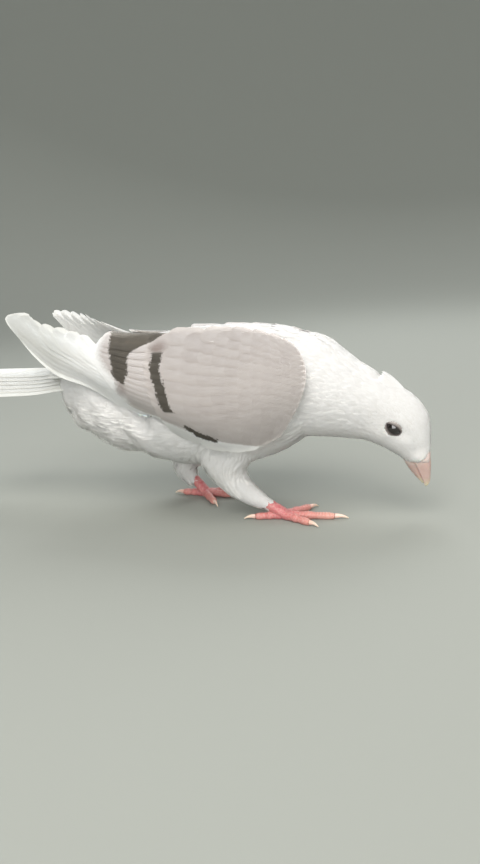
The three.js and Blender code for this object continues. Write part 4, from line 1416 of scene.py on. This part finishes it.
# The cere lies over the bill's base like a saddle: h, height on top, lower edge and half width.
CERE_ROWS = [[13, 10.9, 2.6, 5.2], [19, 10.35, 2.8, 4.9], [22.5, 9.45, 3.4, 4.35], [24.6, 8.5, 4.4, 3.6],
             [25.8, 7.6, 5.6, 2.4]]
CERE_GROOVE = 0.5


def cere_place(v, angle):
    """Two low lobes with a groove between them."""
    h, upper, lower, half = np.moveaxis(smooth(CERE_ROWS, v), -1, 0)
    y, rise = oval(angle, upper - lower, upper - lower, half, CERE_FULLNESS)
    groove = CERE_GROOVE * np.exp(-(y / 0.9) ** 2) * (rise > 0)
    return on_head(h, y, lower + np.maximum(rise, 0) - groove)


BILL = bill_horn()
CERE = cere_skin()
for name, rows, top in (("bill_upper", BILL_UPPER, True), ("bill_lower", BILL_LOWER, False)):
    made = lofted("horn_" + name, 72, 96, bill_half(rows, top))
    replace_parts(dress(made, BILL), name)

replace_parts(dress(lofted("cere_lobes", 72, 60, cere_place), CERE), "cere")


# The crest at the nape.

PEAK_LAYERS = 7
PEAK_ACROSS = 27
PEAK_FALL = 5.5  # how far the crest's sides lie below its ridge


def peak_feathers():
    """The crown's feathers run on over the nape and end there in a short blunt crest, in layers."""
    layer = np.repeat(np.arange(PEAK_LAYERS), PEAK_ACROSS)
    spread = np.tile(np.linspace(-1, 1, PEAK_ACROSS), PEAK_LAYERS)
    random = np.random.default_rng(7)
    spread = spread + random.normal(0, 0.05, len(spread))
    reach = 18.2 - 0.3 * layer - 3.5 * spread ** 2 + random.normal(0, 0.4, len(spread))
    column = lambda v: v[:, None, None]

    def surface(along, across):
        share = along / column(reach)
        wide = lerp(8.4, 6.0, share)
        y = column(spread) * wide + across
        off = np.abs(y) / wide
        ridge = 13.4 - 5.0 * share - 2.2 * share ** 3 - 1.2 * share ** 8
        base = on_head(-12 - along, y, ridge - column(0.34 * layer) - PEAK_FALL * off ** 2.4)
        fall = PEAK_FALL * 2.4 * off ** 1.4 / wide * np.sign(y)
        return base, unit(np.stack([0.3 + 0 * share, fall, 0.9 + 0 * share], -1))

    made = vanes("peak_feathers", surface, reach, 1.2, -0.5, 0, rows=8, columns=3, point=2.0,
                 ragged=0.8, thick=0.05,
                 spots=np.column_stack([0.97 + 0 * spread, 0.3 + 0.01 * spread]))
    return dress(made, WHITE)


peak_feathers()


# Eyes.

LID_ROLL = 0.26  # the lids' half thickness
LID_SWELL = 0.4  # how far the lids bulge between the gap and the coat
LID_CREASE = 0.1


def eyelids(key):
    """Both lids as one ring of bare skin: rolled at the gap, creased, and sunk under the coat outside."""
    eye = EYES[key]
    bpy.ops.mesh.primitive_torus_add(major_segments=96, minor_segments=28, major_radius=1, minor_radius=0.3)
    made = bpy.context.object
    made.name = "eyelids_" + key
    co = np.empty(len(made.data.vertices) * 3)
    made.data.vertices.foreach_get("co", co)
    x, y, z = co.reshape(-1, 3).T
    turn = np.arctan2(y, x)
    round_it = np.arctan2(z, np.hypot(x, y) - 1)
    share = (0.5 + 0.5 * np.cos(round_it))[:, None]
    c, s = np.cos(turn)[:, None], np.sin(turn)[:, None]
    gap = eye["along"] * OPENING[0] * c + eye["up"] * OPENING[1] * np.sign(s) * np.abs(s) ** 1.3
    ball = EYE_RADIUS + 0.1
    inner = eye["centre"] + gap + eye["out"] * np.sqrt(ball ** 2 - (gap ** 2).sum(1, keepdims=True))
    rim = eye["centre"] + eye["along"] * LID_REACH[0] * c + eye["up"] * LID_REACH[1] * s + eye["out"] * 3
    spot, away, _, _ = onto_skin(rim)
    outer = spot - away * 0.5
    swell = lerp(inner, outer, 0.5) + eye["out"] * LID_SWELL
    path = lerp(lerp(inner, swell, share), lerp(swell, outer, share), share)
    side = np.sin(round_it)[:, None]
    crease = LID_CREASE * np.sin(share * 5 * math.pi) * np.maximum(side, 0)
    lift = LID_ROLL * side * (1 - 0.5 * share) + crease
    made.data.vertices.foreach_set("co", placed(path + eye["out"] * lift).ravel())
    made.data.update()
    add_attribute(made.data, "along", share[:, 0])
    face_outwards(made)
    return dress(made, LID)


EYE_GLOSS = eye_wet()
LID = lid_skin()
for key in SIDES:
    bpy.ops.mesh.primitive_uv_sphere_add(segments=48, ring_count=32, radius=EYE_RADIUS * MM)
    ball = bpy.context.object
    ball.name = "eyeball_" + key
    ball.data.transform(Matrix.Translation(Vector(placed(EYES[key]["centre"]))))
    bpy.ops.object.shade_smooth()
    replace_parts(dress(ball, EYE_GLOSS), "eye_" + key)
    eyelids(key)


# Feet and claws.

SCUTE = 0.35  # the height of the raised plates across toes and shank
TOE_PLATE = 1.7  # the length of one plate
SHANK_PLATES = 9
CLAW_THICK = (1.45, 0.3)  # radius at the toe and at the point
TOES_REACH = 34  # from the foot's middle to the toes' ends


def toe_line(foot, toe):
    """The way that a toe points: a spot of the floor at a distance from the foot's middle."""
    way = math.radians(foot["heading"] - foot["side"] * toe["turn"])
    x, y = foot["centre"]
    return lambda d: np.array([x + d * math.cos(way), y + d * math.sin(way)])


def toe_rows(foot, toe):
    """A toe, thicker at its three joints and thinner to its end."""
    out = toe_line(foot, toe)
    rows = []
    for share in np.linspace(0, 1, 9):
        knuckle = 0.5 * (0.5 - 0.5 * math.cos(share * 6 * math.pi)) - 0.15
        thick = TOE_RADIUS * lerp(1.05, 0.72, share) + knuckle
        rows.append([*out(toe["length"] * share), lerp(2.5, 1.75, share), thick * 0.95, thick])
    return rows


def scuted(rows, above, plates):
    """A toe or shank with raised plates across its upper side."""
    def place(u, angle):
        points = tube(rows, above, u, angle)
        saw = (u * plates) % 1
        raised = SCUTE * saw ** 2 * np.maximum(0, np.cos(angle)) ** 0.5
        middle = tube(rows, above, u, angle, 30)
        points = points + unit(points - middle) * raised[..., None]
        points[..., 2] = np.maximum(points[..., 2], 0)
        return points

    return place


FOOT = foot_skin()
CLAW = claw_horn()
for key, foot in FEET.items():
    pieces = [lofted("shank", 20, 40, scuted(shank_rows(key), (1, 0, 0), SHANK_PLATES))]
    for name, toe in TOES.items():
        plates = toe["length"] / TOE_PLATE
        pieces.append(lofted("toe", 18, 90, scuted(toe_rows(foot, toe), (0, 0, 1), plates)))
        out = toe_line(foot, toe)
        rows = []
        for share in np.linspace(0, 1, 7):
            thick = lerp(*CLAW_THICK, share ** 1.2)
            height = 1.9 + 0.9 * math.sin(2.6 * share) - 1.7 * share
            rows.append([*out(toe["length"] + CLAW_GAP + (toe["claw"] - CLAW_GAP) * share),
                         max(height, thick), thick, thick * 0.8])
        claw = lofted(f"nail_{key}_{name}", 14, 16, lambda u, a: tube(rows, (0, 0, 1), u, a))
        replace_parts(dress(claw, CLAW), f"claw_{key}_{name}")
    made = fused("toes_" + key, pieces, 0.24, 1)
    spots = mesh_arrays(made)[0][:, :2]
    add_attribute(made.data, "reach", np.linalg.norm(spots - foot["centre"], axis=1) / TOES_REACH)
    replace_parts(dress(made, FOOT), "foot_" + key)


# Stage, light and camera.

# Radius and height in metres of the rings where the floor rises into the backdrop.
BACKDROP = [(1.6, 0.0), (2.0, 0.08), (2.25, 0.35), (2.35, 1.0), (2.35, 2.6)]


def studio():
    """A pale floor that rises into a round backdrop."""
    bpy.ops.mesh.primitive_circle_add(vertices=96, radius=BACKDROP[0][0], fill_type="TRIFAN")
    floor = bpy.context.object
    floor.name = "studio_floor"
    for vertex in floor.data.vertices:
        vertex.select = vertex.co.length > BACKDROP[0][0] / 2
    for edge in floor.data.edges:
        edge.select = all(floor.data.vertices[k].select for k in edge.vertices)
    for face in floor.data.polygons:
        face.select = False
    bpy.ops.object.mode_set(mode="EDIT")
    bpy.ops.mesh.select_mode(type="EDGE")
    for (near, low), (far, high) in zip(BACKDROP, BACKDROP[1:]):
        bpy.ops.mesh.extrude_edges_move(TRANSFORM_OT_translate={"value": (0, 0, high - low)})
        bpy.ops.transform.resize(value=(far / near, far / near, 1))
    bpy.ops.object.mode_set(mode="OBJECT")
    bend = floor.modifiers.new("round", "SUBSURF")
    bend.levels = bend.render_levels = 2
    floor.data.materials.append(finish("paper_backdrop", "#8A8D87", 0.95)[0])
    bpy.ops.object.shade_smooth()


LIGHT_TARGET = (0, 0, 0.06)


def area_light(name, place, size, power, colour="#FFFFFF"):
    """A soft lamp at a place in metres that shines on the bird."""
    bpy.ops.object.light_add(type="AREA", location=place)
    lamp = bpy.context.object
    lamp.name = name
    lamp.data.size = size
    lamp.data.energy = power
    lamp.data.color = linear(colour)[:3]
    lamp.rotation_euler = (Vector(LIGHT_TARGET) - Vector(place)).to_track_quat("-Z", "Y").to_euler()


CAMERA_PLACE = (164.5, -401.5, 142)
SENSOR = 36
LOOK = Vector((-0.366, 0.906, -0.213)).normalized()
ROLL = math.radians(4.2)
FOCAL = 730 / 864 * SENSOR


def camera():
    """The photo's point of view."""
    made = bpy.data.cameras.new("camera")
    made.sensor_fit = "VERTICAL"
    made.sensor_height = SENSOR
    made.lens = FOCAL
    made.clip_start = 0.01
    lens = new_object("camera", made)
    right = LOOK.cross(Vector((0, 0, 1))).normalized()
    up = right.cross(LOOK)
    turned_right = right * math.cos(ROLL) - up * math.sin(ROLL)
    turned_up = up * math.cos(ROLL) + right * math.sin(ROLL)
    turn = Matrix((turned_right, turned_up, -LOOK)).transposed().to_4x4()
    lens.matrix_world = Matrix.Translation(Vector(placed(CAMERA_PLACE))) @ turn
    bpy.context.scene.camera = lens


bpy.context.scene.view_settings.view_transform = "Standard"
studio()
area_light("key", (0.3, -0.95, 1.4), 1.3, 27, "#FFFAF4")
area_light("fill", (0.5, -1.5, 0.4), 1.4, 31)
area_light("rim", (0.0, 1.2, 1.3), 1.2, 22)
world = bpy.data.worlds.new("studio_air")
bpy.context.scene.world = world
world.use_nodes = True
world.node_tree.nodes["Background"].inputs["Color"].default_value = linear("#E9ECEF")
world.node_tree.nodes["Background"].inputs["Strength"].default_value = 1.0
camera()
